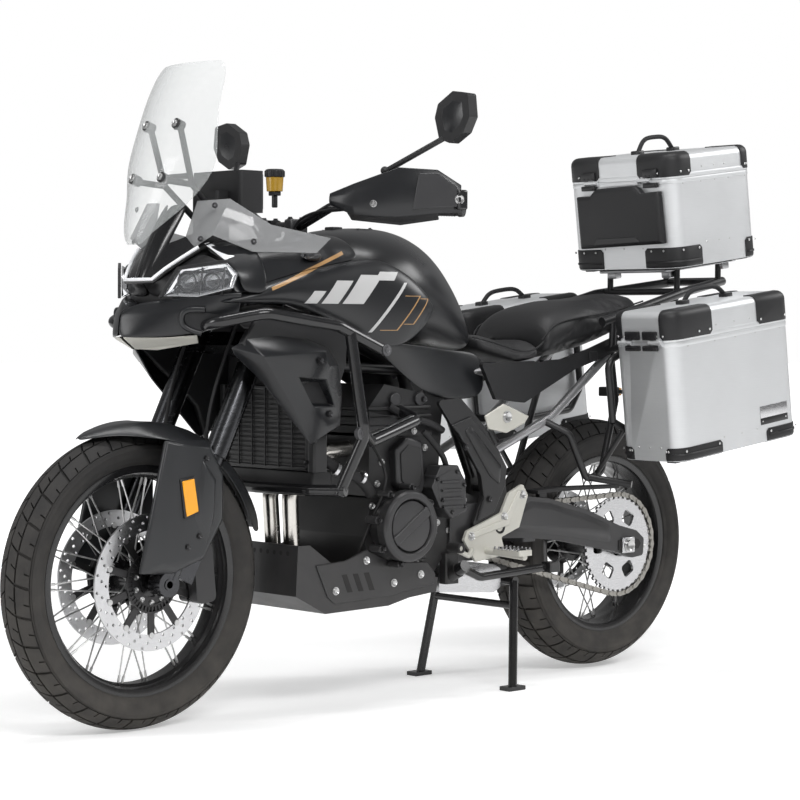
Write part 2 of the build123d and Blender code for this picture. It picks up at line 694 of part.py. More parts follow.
with BuildPart() as pillion_seat:
    sections = []
    for x, half, z_low, z_top in (
        (-367, 142, 800, 872), (-409, 140, 806, 934), (-540, 134, 830, 952), (-643, 126, 862, 954),
        (-788, 98, 905, 980),
    ):
        outline = ((-half, z_low), (half, z_low), (half * 0.86, z_top), (-half * 0.86, z_top))
        sections.append(rounded_section(cross_plane(x), outline, 14))
    loft(sections=sections, ruled=True)
finish(pillion_seat, "pillion_seat")

with BuildPart() as subframe:
    for side in (1, -1):
        add(tube([(-60, side * 84, 770), (-430, side * 104, 790), (-640, side * 104, 836), (-860, side * 96, 886)], 11, 60))
        add(tube([(-186, side * 86, 560), (-420, side * 104, 660), (-660, side * 104, 838)], 11, 60))
    for x, z in ((-430, 790), (-856, 885)):
        add(rod((x, -104, z), (x, 104, z), 9))
    add(frame.part, mode=Mode.SUBTRACT)
finish(subframe, "subframe")

with BuildPart() as side_fairings:
    for side in (1, -1):
        low, high = sorted((side * 190, side * 232))
        wing = (
            (690, 880), (610, 800), (470, 690), (440, 622), (384, 700), (340, 800), (336, 860), (340, 930),
            (420, 990), (560, 1010), (660, 960),
        )
        add(plate(wing, low, high, 10))
        for x, z in ((420, 800), (350, 960)):
            add(rod((x, side * (FRAME_SPINE_Y if x == 350 else 170), z), (x, side * 192, z), 8))
        low, high = sorted((side * 178, side * 190.5))
        neck = ((336, 900), (336, 980), (420, 1010), (560, 1010), (560, 900), (420, 880))
        add(plate(neck, low, high, 6))
    add(crash_bars.part, mode=Mode.SUBTRACT)
    add(radiator.part, mode=Mode.SUBTRACT)
    add(frame.part, mode=Mode.SUBTRACT)
finish(side_fairings, "side_fairings")

FORK_SWEEP_RADIUS = 170.0
NOSE_SECTIONS = (               # X, then half width and Z of the lower edge, waist and top
    (600, (190, 890), (216, 1000), (150, 1090)),
    (660, (170, 876), (210, 985), (110, 1080)),
    (730, (120, 862), (132, 975), (66, 1056)),
    (790, (70, 858), (70, 940), (40, 1030)),
    (832, (34, 858), (36, 900), (22, 962)),
)
LAMP_OUTLINE = ((0, 952), (42, 1012), (149, 1025), (174, 1000), (164, 970), (84, 950))   # along the lamp, Z
with BuildPart() as headlamps:
    for side in (1, -1):
        lens = rounded_section(
            Plane(origin=(771, side * 74, 0), x_dir=(-0.588, side * 0.809, 0), z_dir=(side * 0.809, 0.588, 0)),
            LAMP_OUTLINE, 8,
        )
        extrude(to_extrude=lens, amount=-36 * side)
finish(headlamps, "headlamps")

with BuildPart() as nose_fairing:
    sections = []
    for x, *levels in NOSE_SECTIONS:
        outline = [(half, z) for half, z in levels] + [(-half, z) for half, z in reversed(levels)]
        sections.append(rounded_section(cross_plane(x), outline, 6))
    loft(sections=sections, ruled=True)
    add(headlamps.part, mode=Mode.SUBTRACT)
    add(side_fairings.part, mode=Mode.SUBTRACT)
    add(crash_bars.part, mode=Mode.SUBTRACT)
    # room behind for the fork legs and yokes at full lock
    add(
        rod(steering_point(STEM_LEAD, 500), steering_point(STEM_LEAD, 900), FORK_SWEEP_RADIUS),
        mode=Mode.SUBTRACT,
    )
finish(nose_fairing, "nose_fairing")

# windshield: centre X, height Z, half width, how far its edges sweep back
SCREEN_SECTIONS = (
    (790, 1062, 28, 8), (800, 1097, 62, 24), (776, 1172, 124, 66), (764, 1236, 187, 86), (736, 1300, 122, 42),
    (712, 1370, 122, 40), (698, 1400, 138, 48), (650, 1478, 122, 34),
)
SCREEN_THICKNESS = 4.0
with BuildPart() as windshield:
    sections = []
    for x, z, half, back in SCREEN_SECTIONS:
        with BuildSketch(Plane(origin=(x, 0, z), x_dir=(0, 1, 0), z_dir=(0, 0, 1))) as section:
            with BuildLine():
                ThreePointArc((-half, back), (0, 0), (half, back))
                Line((half, back), (half - 1, back + SCREEN_THICKNESS))
                inner_edge = back + SCREEN_THICKNESS
                ThreePointArc((half - 1, inner_edge), (0, SCREEN_THICKNESS), (-half + 1, inner_edge))
                Line((-half + 1, back + SCREEN_THICKNESS), (-half, back))
            make_face()
        sections.append(section.sketch)
    loft(sections=sections, ruled=True)
    add(nose_fairing.part, mode=Mode.SUBTRACT)
finish(windshield, "windshield")

DEFLECTOR_SHEET = 3.0
# smoke deflectors: a front leaf and a side leaf of four corners each, as X, Y, Z of the left one
DEFLECTOR_LEAVES = (
    ((669, 70, 1163), (642, 152, 1166), (690, 152, 1085), (705, 52, 1040)),
    ((642, 152, 1166), (566, 202, 1110), (610, 192, 1050), (690, 152, 1085)),
    ((566, 202, 1110), (410, 222, 1084), (452, 222, 1050), (610, 192, 1050)),
)
with BuildPart() as wind_deflectors:
    for side in (1, -1):
        for corners in DEFLECTOR_LEAVES:
            ring = [Vector(x, side * y, z) for x, y, z in corners]
            for half in ((ring[0], ring[1], ring[2]), (ring[0], ring[2], ring[3])):
                add(Solid.extrude(Face(Wire.make_polygon(half)), Vector(-0.7, -side * 0.7, 0) * DEFLECTOR_SHEET))
    add(nose_fairing.part, mode=Mode.SUBTRACT)
finish(wind_deflectors, "wind_deflectors")

SCREEN_ARM = 7.0
with BuildPart() as dash:
    add(block((556, -60, 990), (648, 60, 1070), 8))
    add(block((556, -46, 1060), (596, 46, 1190), 8))
    add(block((492, -88, 1142), (562, 88, 1236), 10))
    # carrier of the windshield: two arms with an upper and a lower fixing each
    for side in (1, -1):
        add(rod((580, side * 40, 1120), (668, side * 50, 1200), SCREEN_ARM))
        add(rod((668, side * 50, 1200), (703, side * 54, 1325), SCREEN_ARM))
        add(rod((668, side * 50, 1200), (742, side * 52, 1206), SCREEN_ARM))
        add(rod((700, side * 54, 1322), (718.2, side * 54, 1322), SCREEN_ARM - 2))
        add(rod((738, side * 52, 1206), (760.7, side * 52, 1206), SCREEN_ARM - 2))
    add(rod((676, -50, 1218), (676, 50, 1218), SCREEN_ARM))
    # stay that carries the nose on the steering head
    add(rod(steering_point(STEM_LEAD + 26, 700), (600, 0, 1000), 12))
    add(frame.part, mode=Mode.SUBTRACT)
    add(windshield.part, mode=Mode.SUBTRACT)
    add(nose_fairing.part, mode=Mode.SUBTRACT)
finish(dash, "dash")


# ---------------------------------------------------------------- rear end
with BuildPart() as swingarm:
    arm = (
        (-185, 436), (-311, 468), (-380, 460), (-520, 425), (-640, 378), (-706, 362),
        (-735, 340), (-732, 296), (-690, 292), (-622, 312), (-420, 352), (-300, 366), (-176, 372), (-158, 400),
    )
    px, pz = SWINGARM_PIVOT
    for side in (1, -1):
        low, high = sorted((side * 118, side * 140))
        add(plate(arm, low, high, 10))
        add(rod(REAR_AXLE + Vector(0, side * 139, 0), REAR_AXLE + Vector(0, side * 147, 0), 19))
    add(block((-334, -139, 356), (-290, 139, 422), 6))
    add(rod((px, -139, pz), (px, 139, pz), PIVOT_SHAFT_RADIUS))
    add(rod(REAR_AXLE - Vector(0, 146, 0), REAR_AXLE + Vector(0, 146, 0), REAR_AXLE_RADIUS))
    add(rod(REAR_AXLE + Vector(0, 109, 0), REAR_AXLE + Vector(0, 119, 0), 18))
    add(rod(REAR_AXLE - Vector(0, 119, 0), REAR_AXLE - Vector(0, 98, 0), 18))
finish(swingarm, "swingarm")

with BuildPart() as shock:
    add(rod((-312, 0, 410), (-248, 0, 660), 13))
    add(rod((-300, 0, 456), (-258, 0, 622), 32))
    add(rod((-248, -70, 660), (-248, 70, 660), 9))
    add(swingarm.part, mode=Mode.SUBTRACT)
    add(frame.part, mode=Mode.SUBTRACT)
finish(shock, "shock")

with BuildPart() as chain:
    drive = Vector(-112, 0, 392)
    half_low, half_high = SPROCKET_OFFSET - CHAIN_WIDTH / 2, SPROCKET_OFFSET + CHAIN_WIDTH / 2
    big = SPROCKET_RADIUS + 4
    small = DRIVE_SPROCKET_RADIUS + 7
    def belt(grow):
        """The area inside the loop, grown outwards by this much."""
        span = Vector(REAR_AXLE_X, 0, REAR_AXLE_Z) - drive
        tilt = atan2(-span.Z, -span.X)
        lean = asin((big - small) / span.length)
        with BuildSketch(side_plane(half_high)) as area:
            with Locations((REAR_AXLE_X, REAR_AXLE_Z)):
                Circle(big + grow)
            with Locations((drive.X, drive.Z)):
                Circle(small + grow)
            points = []
            for centre, radius, turn in (
                ((REAR_AXLE_X, REAR_AXLE_Z), big, 1), ((drive.X, drive.Z), small, 1),
                ((drive.X, drive.Z), small, -1), ((REAR_AXLE_X, REAR_AXLE_Z), big, -1),
            ):
                angle = tilt + turn * (pi / 2 - lean)
                points.append((centre[0] + (radius + grow) * cos(angle), centre[1] + (radius + grow) * sin(angle)))
            with BuildLine():
                Polyline(*points, close=True)
            make_face()
        return area.sketch
    extrude(to_extrude=belt(CHAIN_DEPTH / 2), amount=CHAIN_WIDTH)
    extrude(to_extrude=belt(-CHAIN_DEPTH / 2), amount=CHAIN_WIDTH, mode=Mode.SUBTRACT)
    with BuildSketch(side_plane(SPROCKET_OFFSET + SPROCKET_THICKNESS / 2 + 1)):
        with Locations((REAR_AXLE_X, REAR_AXLE_Z)):
            Circle(SPROCKET_RADIUS + 1)
    extrude(amount=SPROCKET_THICKNESS + 2, mode=Mode.SUBTRACT)
finish(chain, "chain")

with BuildPart() as chain_guard:
    hugger = ((-340, 472), (-420, 476), (-640, 474), (-640, 482), (-420, 486), (-340, 482))
    add(plate(hugger, 96, 140, 2))
    add(block((-376, 122, 440), (-350, 136, 476)))
    add(swingarm.part, mode=Mode.SUBTRACT)
finish(chain_guard, "chain_guard")

with BuildPart() as rear_caliper:
    with BuildSketch(side_plane(-76)):
        with Locations(Location((REAR_AXLE_X + 96, REAR_AXLE_Z + 66), -56)):
            RectangleRounded(96, 44, 10)
    extrude(amount=40)
    with BuildSketch(side_plane(REAR_DISC_OFFSET + DISC_THICKNESS / 2 + 3)):
        with Locations((REAR_AXLE_X, REAR_AXLE_Z)):
            Circle(REAR_DISC_RADIUS + 4)
    extrude(amount=DISC_THICKNESS + 6, mode=Mode.SUBTRACT)
    add(rod((REAR_AXLE_X + 120, -104, REAR_AXLE_Z + 60), (REAR_AXLE_X + 120, -122, REAR_AXLE_Z + 60), 10))
    add(swingarm.part, mode=Mode.SUBTRACT)
finish(rear_caliper, "rear_caliper")

with BuildPart() as foot_controls:
    for side in (1, -1):
        low, high = sorted((side * HEEL_PLATE_Y, side * (HEEL_PLATE_Y + HEEL_PLATE_THICKNESS)))
        heel = (
            (-264, 502), (-282, 474), (-252, 397), (-190, 376), (-200, 349), (-182, 330),
            (-104, 321), (-64, 376), (-74, 397), (-190, 435), (-216, 482),
        )
        add(plate(heel, low, high, 5))
        root = side * (HEEL_PLATE_Y + HEEL_PLATE_THICKNESS - 1)
        add(rod((-140, root, 346), (-140, side * 292, 340), 8))
        add(block((-162, min(side * 204, side * 296), 343), (-118, max(side * 204, side * 296), 356), 5))
        toe = 196 if side > 0 else 206
        add(tube([(-92, root, 350), (-60, side * 182, 340), (12, side * toe, 366)], 6, 8))
        add(rod((12, side * (toe - 6), 366), (12, side * (toe + 34), 366), 9))
    add(frame.part, mode=Mode.SUBTRACT)
finish(foot_controls, "foot_controls")

with BuildPart() as passenger_hangers:
    for side in (1, -1):
        y = side * 150
        hanger = [
            (-400, side * 106, 650), (-440, y, 620), (-506, y, 500), (-560, y, 520), (-620, side * 142, 700),
            (-640, side * 106, 826),
        ]
        add(tube(hanger, 9, 24))
        add(rod((-510, y, 508), (-568, side * 246, 492), 9))
    add(subframe.part, mode=Mode.SUBTRACT)
finish(passenger_hangers, "passenger_hangers")

PLATE_BOLT_SPACING_Y = 140.0
PLATE_BOLT_SPACING_Z = 90.0
PLATE_BOLT_RADIUS = 3.2
with BuildPart() as rear_mudguard:
    plate_outline = ((-820, 890), (-880, 880), (-960, 660), (-940, 652), (-860, 800), (-820, 860))
    add(plate(plate_outline, -60, 60, 4))
    add(block((-968, -95, 600), (-962, 95, 740)))
    for y in (-PLATE_BOLT_SPACING_Y / 2, PLATE_BOLT_SPACING_Y / 2):
        for z in (-PLATE_BOLT_SPACING_Z / 2, PLATE_BOLT_SPACING_Z / 2):
            add(rod((-970, y, 670 + z), (-960, y, 670 + z), PLATE_BOLT_RADIUS), mode=Mode.SUBTRACT)
    add(rod((-940, 0, 690), (-963, 0, 690), 14))
    add(subframe.part, mode=Mode.SUBTRACT)
finish(rear_mudguard, "rear_mudguard")

with BuildPart() as signal_lamps:
    add(block((-900, -60, 896), (-868, 60, 930), 6))
    add(rod((-850, 0, 900), (-869, 0, 910), 10))
    for side in (1, -1):
        add(rod((-930, side * 50, 710), (-930, side * 130, 710), 6))
        add(block((-950, min(side * 130, side * 190), 696), (-916, max(side * 130, side * 190), 724), 8))
    add(rear_mudguard.part, mode=Mode.SUBTRACT)
    add(subframe.part, mode=Mode.SUBTRACT)
finish(signal_lamps, "signal_lamps")

# ---------------------------------------------------------------- rack and cases
CASE_AHEAD = Vector(cos(radians(CASE_PITCH)), 0, -sin(radians(CASE_PITCH)))
CASE_UP = Vector(sin(radians(CASE_PITCH)), 0, cos(radians(CASE_PITCH)))
TOP_CASE_FRONT = Vector(-785, 0, 1270)      # lid line at the case's front face
PANNIER_FRONT = Vector(-478, 0, 849)


def case_plane(front, y_mid, up, length):
    """A plane level with the case's floor, centred under it; its local x points ahead."""
    origin = front + CASE_UP * up - CASE_AHEAD * (length / 2) + Vector(0, y_mid, 0)
    return Plane(origin=origin, x_dir=CASE_AHEAD, z_dir=CASE_UP)


def build_case(front, y_mid, length, width, box_height, lid_height):
    """The open box and the lid of one case, both folded from sheet."""
    lid_line = case_plane(front, y_mid, 0, length)
    with BuildPart() as box:
        with BuildSketch(case_plane(front, y_mid, -box_height, length)):
            RectangleRounded(length, width, CASE_CORNER_RADIUS)
        extrude(amount=box_height - SEAT_GAP)
        with BuildSketch(case_plane(front, y_mid, -box_height + CASE_WALL, length)):
            RectangleRounded(length - 2 * CASE_WALL, width - 2 * CASE_WALL, CASE_CORNER_RADIUS - CASE_WALL)
        extrude(amount=box_height, mode=Mode.SUBTRACT)
    with BuildPart() as lid:
        with BuildSketch(lid_line):
            RectangleRounded(length, width, CASE_CORNER_RADIUS)
        extrude(amount=lid_height)
        top = lid.faces().sort_by(Axis(lid_line.origin, lid_line.z_dir))[-1]
        fillet(top.edges(), CASE_CORNER_RADIUS * 0.5)
        with BuildSketch(lid_line):
            RectangleRounded(length - 2 * CASE_WALL, width - 2 * CASE_WALL, CASE_CORNER_RADIUS - CASE_WALL)
        extrude(amount=lid_height - CASE_WALL - CASE_CORNER_RADIUS * 0.2, mode=Mode.SUBTRACT)
        # two hinge knuckles ahead of the front face; the box carries a pair beside each
    for y in (-width * 0.25, width * 0.25):
        axis_point = front + CASE_AHEAD * HINGE_LEAD + Vector(0, y_mid + y, 0)
        for piece, span, up in ((lid, (-10, 10), 1), (box, (-22, -10.5), -1), (box, (10.5, 22), -1)):
            low, high = (axis_point + Vector(0, v, 0) for v in span)
            leaf_plane = Plane(origin=low, x_dir=CASE_AHEAD, z_dir=(0, 1, 0))
            with piece:
                add(rod(low, high, HINGE_RADIUS))
                with BuildSketch(leaf_plane):
                    with Locations((-HINGE_LEAD / 2, -up * HINGE_LEAF / 2)):
                        Rectangle(HINGE_LEAD, HINGE_LEAF)
                extrude(amount=span[1] - span[0])
    return box, lid


HINGE_LEAD = 7.0                # hinge pin ahead of a case's front face
HINGE_RADIUS = 5.0
HINGE_LEAF = 9.0
PANNIER_MID_Y = PANNIER_INNER_Y + PANNIER_WIDTH / 2
PANNIER_SIZE = (PANNIER_LENGTH, PANNIER_WIDTH, PANNIER_BOX_HEIGHT, PANNIER_LID_HEIGHT)
TOP_CASE_SIZE = (TOP_CASE_LENGTH, TOP_CASE_WIDTH, TOP_CASE_BOX_HEIGHT, TOP_CASE_LID_HEIGHT)
CASES = (                       # name, front of the lid line, middle Y, length, width, box and lid height
    ("pannier_left", PANNIER_FRONT, PANNIER_MID_Y, *PANNIER_SIZE),
    ("pannier_right", PANNIER_FRONT, -PANNIER_MID_Y, *PANNIER_SIZE),
    ("top_case", TOP_CASE_FRONT, 0, *TOP_CASE_SIZE),
)
for name, front, y_mid, length, width, box_height, lid_height in CASES:
    box, lid = build_case(front, y_mid, length, width, box_height, lid_height)
    finish(box, f"{name}_box")
    finish(lid, f"{name}_lid")

with BuildPart() as rack:
    for side in (1, -1):
        rail = [(-560, side * 150, 900), (-700, side * 156, 936), (-860, side * 150, 976), (-1110, side * 84, 1012)]
        add(tube(rail, 12, 60))
        add(tube([(-600, side * 104, 828), (-600, side * 148, 836), (-600, side * 152, 908)], 9, 12))
        add(rod((-850, side * 96, 884), (-850, side * 148, 972), 9))
    add(rod((-1104, -86, 1011), (-1104, 86, 1011), 11))
    plate_plane = case_plane(TOP_CASE_FRONT, 0, -TOP_CASE_BOX_HEIGHT - 9, TOP_CASE_LENGTH)
    with BuildSketch(plate_plane):
        RectangleRounded(250, 270, 20)
    extrude(amount=9)
    for along, reach in ((96, 118), (-104, 92)):
        for side in (1, -1):
            foot = plate_plane.from_local_coords((along, side * reach, 2))
            add(rod(foot, foot - Vector(0, 0, 58), 8))
    for x, y, z in ((-886, 144, 981), (-1084, 90, 1009)):
        add(rod((x, -y, z), (x, y, z), 9))
    add(subframe.part, mode=Mode.SUBTRACT)
finish(rack, "rack")

FRAME_RAIL_Y = PANNIER_INNER_Y - 9.0
with BuildPart() as pannier_frames:
    for side in (1, -1):
        y = side * FRAME_RAIL_Y
        hoop = [
            (-500, y, 650), (-480, y, 800), (-560, y, 836), (-880, y, 880), (-900, y, 720), (-860, y, 660),
            (-560, y, 626),
        ]
        add(tube(hoop, 9, 30))
        add(rod((-560, y, 626), (-500, y, 652), 9))
        add(rod((-600, side * 104, 828), (-600, y, 842), 8))
        add(rod((-840, side * 97, 882), (-840, y, 875), 8))
        add(rod((-540, side * 150, 514), (-540, y, 629), 7))
    add(subframe.part, mode=Mode.SUBTRACT)
    add(passenger_hangers.part, mode=Mode.SUBTRACT)
    add(rack.part, mode=Mode.SUBTRACT)
finish(pannier_frames, "pannier_frames")

with BuildPart() as tail_panels:
    for side in (1, -1):
        low, high = sorted((side * 120, side * 132))
        panel = (
            (-150, 798), (-200, 710), (-300, 700), (-480, 780), (-700, 842),
            (-860, 902), (-868, 926), (-740, 892), (-560, 842), (-440, 806),
        )
        add(plate(panel, low, high, 5))
        for x, z in ((-300, 760), (-640, 842)):
            add(rod((x, side * 100, z), (x, side * 121, z), 8))
    add(subframe.part, mode=Mode.SUBTRACT)
    add(pillion_seat.part, mode=Mode.SUBTRACT)
    add(rider_seat.part, mode=Mode.SUBTRACT)
    add(passenger_hangers.part, mode=Mode.SUBTRACT)
    add(rack.part, mode=Mode.SUBTRACT)
    add(pannier_frames.part, mode=Mode.SUBTRACT)
finish(tail_panels, "tail_panels")

# ---------------------------------------------------------------- stands
with BuildPart() as centre_stand:
    px, pz = CENTRE_STAND_PIVOT
    add(rod((px, -140, pz), (px, 140, pz), STAND_TUBE_RADIUS))
    for side in (1, -1):
        add(tube([(px, side * 134, pz), (px + 34, side * 165, 7)], STAND_TUBE_RADIUS))
        with Locations((px + 36, side * 167, 5)):
            Box(56, 34, 10)
    add(rod((px + 7, -139, pz - 60), (px + 7, 139, pz - 60), 9))
finish(centre_stand, "centre_stand")

with BuildPart() as side_stand:
    add(rod(SIDE_STAND_HINGE - SIDE_STAND_AXIS * 13, SIDE_STAND_HINGE + SIDE_STAND_AXIS * 13, 15))
    px, py, pz = SIDE_STAND_HINGE.X, SIDE_STAND_HINGE.Y, SIDE_STAND_HINGE.Z
    add(tube([(px, py, pz), (px - 60, py, pz - 26), (px - 288, py + 2, pz - 16)], 10, 40))
    add(block((px - 312, py - 8, pz - 28), (px - 278, py + 26, pz - 4), 4))
finish(side_stand, "side_stand")
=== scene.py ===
"""Adventure motorcycle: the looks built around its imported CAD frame. Metres, +X ahead, +Y left, +Z up."""
import json
from math import acos, atan2, cos, hypot, pi, radians, sin

import bmesh
import bpy
from mathutils import Matrix, Vector

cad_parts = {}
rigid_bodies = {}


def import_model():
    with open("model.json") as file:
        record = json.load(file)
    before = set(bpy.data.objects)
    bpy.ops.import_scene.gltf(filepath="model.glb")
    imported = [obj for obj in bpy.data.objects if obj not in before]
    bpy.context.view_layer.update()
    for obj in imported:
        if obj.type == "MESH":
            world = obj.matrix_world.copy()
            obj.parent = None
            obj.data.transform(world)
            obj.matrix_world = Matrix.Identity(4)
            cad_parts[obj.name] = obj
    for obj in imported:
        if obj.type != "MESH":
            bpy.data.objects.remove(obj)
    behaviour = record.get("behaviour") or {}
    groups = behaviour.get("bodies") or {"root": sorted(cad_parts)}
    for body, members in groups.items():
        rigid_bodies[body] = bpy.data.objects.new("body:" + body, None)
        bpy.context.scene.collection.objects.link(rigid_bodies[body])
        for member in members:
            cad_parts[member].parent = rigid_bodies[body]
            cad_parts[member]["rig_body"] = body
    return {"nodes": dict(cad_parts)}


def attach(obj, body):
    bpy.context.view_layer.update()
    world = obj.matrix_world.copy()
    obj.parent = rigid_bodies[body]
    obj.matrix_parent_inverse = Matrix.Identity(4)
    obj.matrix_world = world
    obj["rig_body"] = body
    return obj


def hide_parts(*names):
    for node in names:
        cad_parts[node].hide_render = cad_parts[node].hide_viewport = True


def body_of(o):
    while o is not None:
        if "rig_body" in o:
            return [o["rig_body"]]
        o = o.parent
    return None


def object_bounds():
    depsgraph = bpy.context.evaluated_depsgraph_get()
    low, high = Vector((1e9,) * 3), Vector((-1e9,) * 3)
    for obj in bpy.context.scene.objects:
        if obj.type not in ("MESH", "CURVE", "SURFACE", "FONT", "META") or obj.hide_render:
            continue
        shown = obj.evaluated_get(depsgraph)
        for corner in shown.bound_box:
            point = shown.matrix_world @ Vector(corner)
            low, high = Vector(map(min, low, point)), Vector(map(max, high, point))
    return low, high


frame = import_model()
CAD_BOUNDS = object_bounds()
NODES = frame["nodes"]

# ---------------------------------------------------------------- driving dimensions, as in the part's source
FRONT_AXLE = Vector((0.795, 0, 0.3295))
REAR_AXLE = Vector((-0.670, 0, 0.326))
RAKE = radians(26)
STEER_UP = Vector((-sin(RAKE), 0, cos(RAKE)))
STEER_AHEAD = Vector((cos(RAKE), 0, sin(RAKE)))
CASE_TILT = radians(7.2)
CASE_AHEAD = Vector((cos(CASE_TILT), 0, -sin(CASE_TILT)))
CASE_UP = Vector((sin(CASE_TILT), 0, cos(CASE_TILT)))

# ---------------------------------------------------------------- camera, floor and lamps
LENS_MM = 105.60
EYE = Vector((3.84043, 4.18776, 0.89205))
LOOK_YAW, LOOK_PITCH, LOOK_ROLL = radians(-132.546), radians(-1.843), radians(0.157)


def add_object(name, data):
    made = bpy.data.objects.new(name, data)
    bpy.context.scene.collection.objects.link(made)
    return made


def place_camera():
    look = Vector((cos(LOOK_PITCH) * cos(LOOK_YAW), cos(LOOK_PITCH) * sin(LOOK_YAW), sin(LOOK_PITCH)))
    right = look.cross(Vector((0, 0, 1))).normalized()
    up = right.cross(look)
    rolled_right = right * cos(LOOK_ROLL) + up * sin(LOOK_ROLL)
    rolled_up = up * cos(LOOK_ROLL) - right * sin(LOOK_ROLL)
    data = bpy.data.cameras.new("camera")
    data.lens = LENS_MM
    data.sensor_width = 36
    camera = add_object("camera", data)
    turn = Matrix((rolled_right, rolled_up, -look)).transposed().to_4x4()
    camera.matrix_world = Matrix.Translation(EYE) @ turn
    bpy.context.scene.camera = camera


def soft_lamp(name, place, aim, size, watts):
    data = bpy.data.lights.new(name, "AREA")
    data.shape = "RECTANGLE"
    data.size, data.size_y = size
    data.energy = watts
    lamp = add_object(name, data)
    lamp.location = place
    lamp.rotation_euler = (Vector(aim) - Vector(place)).to_track_quat("-Z", "Y").to_euler()


place_camera()
bpy.context.scene.view_settings.view_transform = "Standard"

# ---------------------------------------------------------------- node helpers


def put(tree, kind, settings=None, **inputs):
    """Adds a node; settings are its attributes and inputs its sockets, by name with _ for a space."""
    made = tree.nodes.new(kind)
    for key, value in (settings or {}).items():
        setattr(made, key, value)
    for key, value in inputs.items():
        spot = int(key[1:]) if key[0] == "i" and key[1:].isdigit() else key.replace("_", " ")
        socket = made.inputs[spot]
        if isinstance(value, bpy.types.NodeSocket):
            tree.links.new(value, socket)
        else:
            socket.default_value = value
    return made


def math_node(tree, operation, first, second=0.0, clamp=False):
    return put(tree, "ShaderNodeMath", {"operation": operation, "use_clamp": clamp}, i0=first, i1=second).outputs[0]


def mix_colour(tree, share, first, second, blend="MIX"):
    made = put(tree, "ShaderNodeMix", {"data_type": "RGBA", "blend_type": blend}, i0=share, i6=first, i7=second)
    return made.outputs[2]


def span(tree, value, low, high, to_low=0.0, to_high=1.0):
    made = put(tree, "ShaderNodeMapRange", None, i0=value, i1=low, i2=high, i3=to_low, i4=to_high)
    return made.outputs[0]


def new_group(name, inputs, outputs):
    """An empty shader group with named sockets: (name, kind, default)."""
    tree = bpy.data.node_groups.new(name, "ShaderNodeTree")
    for label, kind, default in inputs:
        socket = tree.interface.new_socket(label, in_out="INPUT", socket_type=kind)
        if default is not None:
            socket.default_value = default
    for label, kind in outputs:
        tree.interface.new_socket(label, in_out="OUTPUT", socket_type=kind)
    return tree, tree.nodes.new("NodeGroupInput"), tree.nodes.new("NodeGroupOutput")


FLOAT, COLOUR, VECTOR = "NodeSocketFloat", "NodeSocketColor", "NodeSocketVector"


def object_place(tree):
    return tree.nodes.new("ShaderNodeTexCoord").outputs["Object"]


def vary(tree, given, result, offset, height):
    """Varies a group's given colour and roughness by an offset about zero, and passes its height on."""
    factor = math_node(tree, "MULTIPLY_ADD", offset, given.outputs["Colour Spread"])
    factor.node.inputs[2].default_value = 1.0
    shade = put(tree, "ShaderNodeVectorMath", {"operation": "SCALE"}, i0=given.outputs["Colour"], Scale=factor)
    gloss = math_node(tree, "MULTIPLY_ADD", offset, given.outputs["Roughness Spread"])
    tree.links.new(given.outputs["Roughness"], gloss.node.inputs[2])
    tree.links.new(shade.outputs[0], result.inputs["Colour"])
    tree.links.new(gloss, result.inputs["Roughness"])
    tree.links.new(height, result.inputs["Height"])


def grain_group():
    """Fine moulded or cast grain: speckle for height, and a slow cloud for colour and gloss."""
    tree, given, result = new_group(
        "surface grain",
        [("Grain Scale", FLOAT, 900.0), ("Cloud Scale", FLOAT, 14.0), ("Colour", COLOUR, (0.05, 0.05, 0.05, 1)),
         ("Colour Spread", FLOAT, 0.15), ("Roughness", FLOAT, 0.5), ("Roughness Spread", FLOAT, 0.08)],
        [("Colour", COLOUR), ("Roughness", FLOAT), ("Height", FLOAT)],
    )
    where = object_place(tree)
    fine = put(tree, "ShaderNodeTexNoise", None, Vector=where, Scale=given.outputs["Grain Scale"], Detail=2.0)
    cloud = put(tree, "ShaderNodeTexNoise", None, Vector=where, Scale=given.outputs["Cloud Scale"], Detail=4.0)
    offset = math_node(tree, "SUBTRACT", cloud.outputs[0], 0.5)
    vary(tree, given, result, offset, fine.outputs[0])
    return tree


def brush_group():
    """Brushed or drawn metal: streaks along one direction of the object."""
    tree, given, result = new_group(
        "brushed streaks",
        [("Across", VECTOR, (40.0, 40.0, 1400.0)), ("Colour", COLOUR, (0.7, 0.7, 0.7, 1)),
         ("Colour Spread", FLOAT, 0.12), ("Roughness", FLOAT, 0.35), ("Roughness Spread", FLOAT, 0.12)],
        [("Colour", COLOUR), ("Roughness", FLOAT), ("Height", FLOAT)],
    )
    where = object_place(tree)
    scaled = put(tree, "ShaderNodeVectorMath", {"operation": "MULTIPLY"}, i0=where, i1=given.outputs["Across"])
    streak = put(tree, "ShaderNodeTexNoise", None, Vector=scaled.outputs[0], Scale=1.0, Detail=3.0)
    cloud = put(tree, "ShaderNodeTexNoise", None, Vector=where, Scale=9.0, Detail=3.0)
    both = math_node(tree, "ADD", streak.outputs[0], math_node(tree, "MULTIPLY", cloud.outputs[0], 0.6))
    offset = math_node(tree, "SUBTRACT", both, 0.8)
    vary(tree, given, result, offset, streak.outputs[0])
    return tree


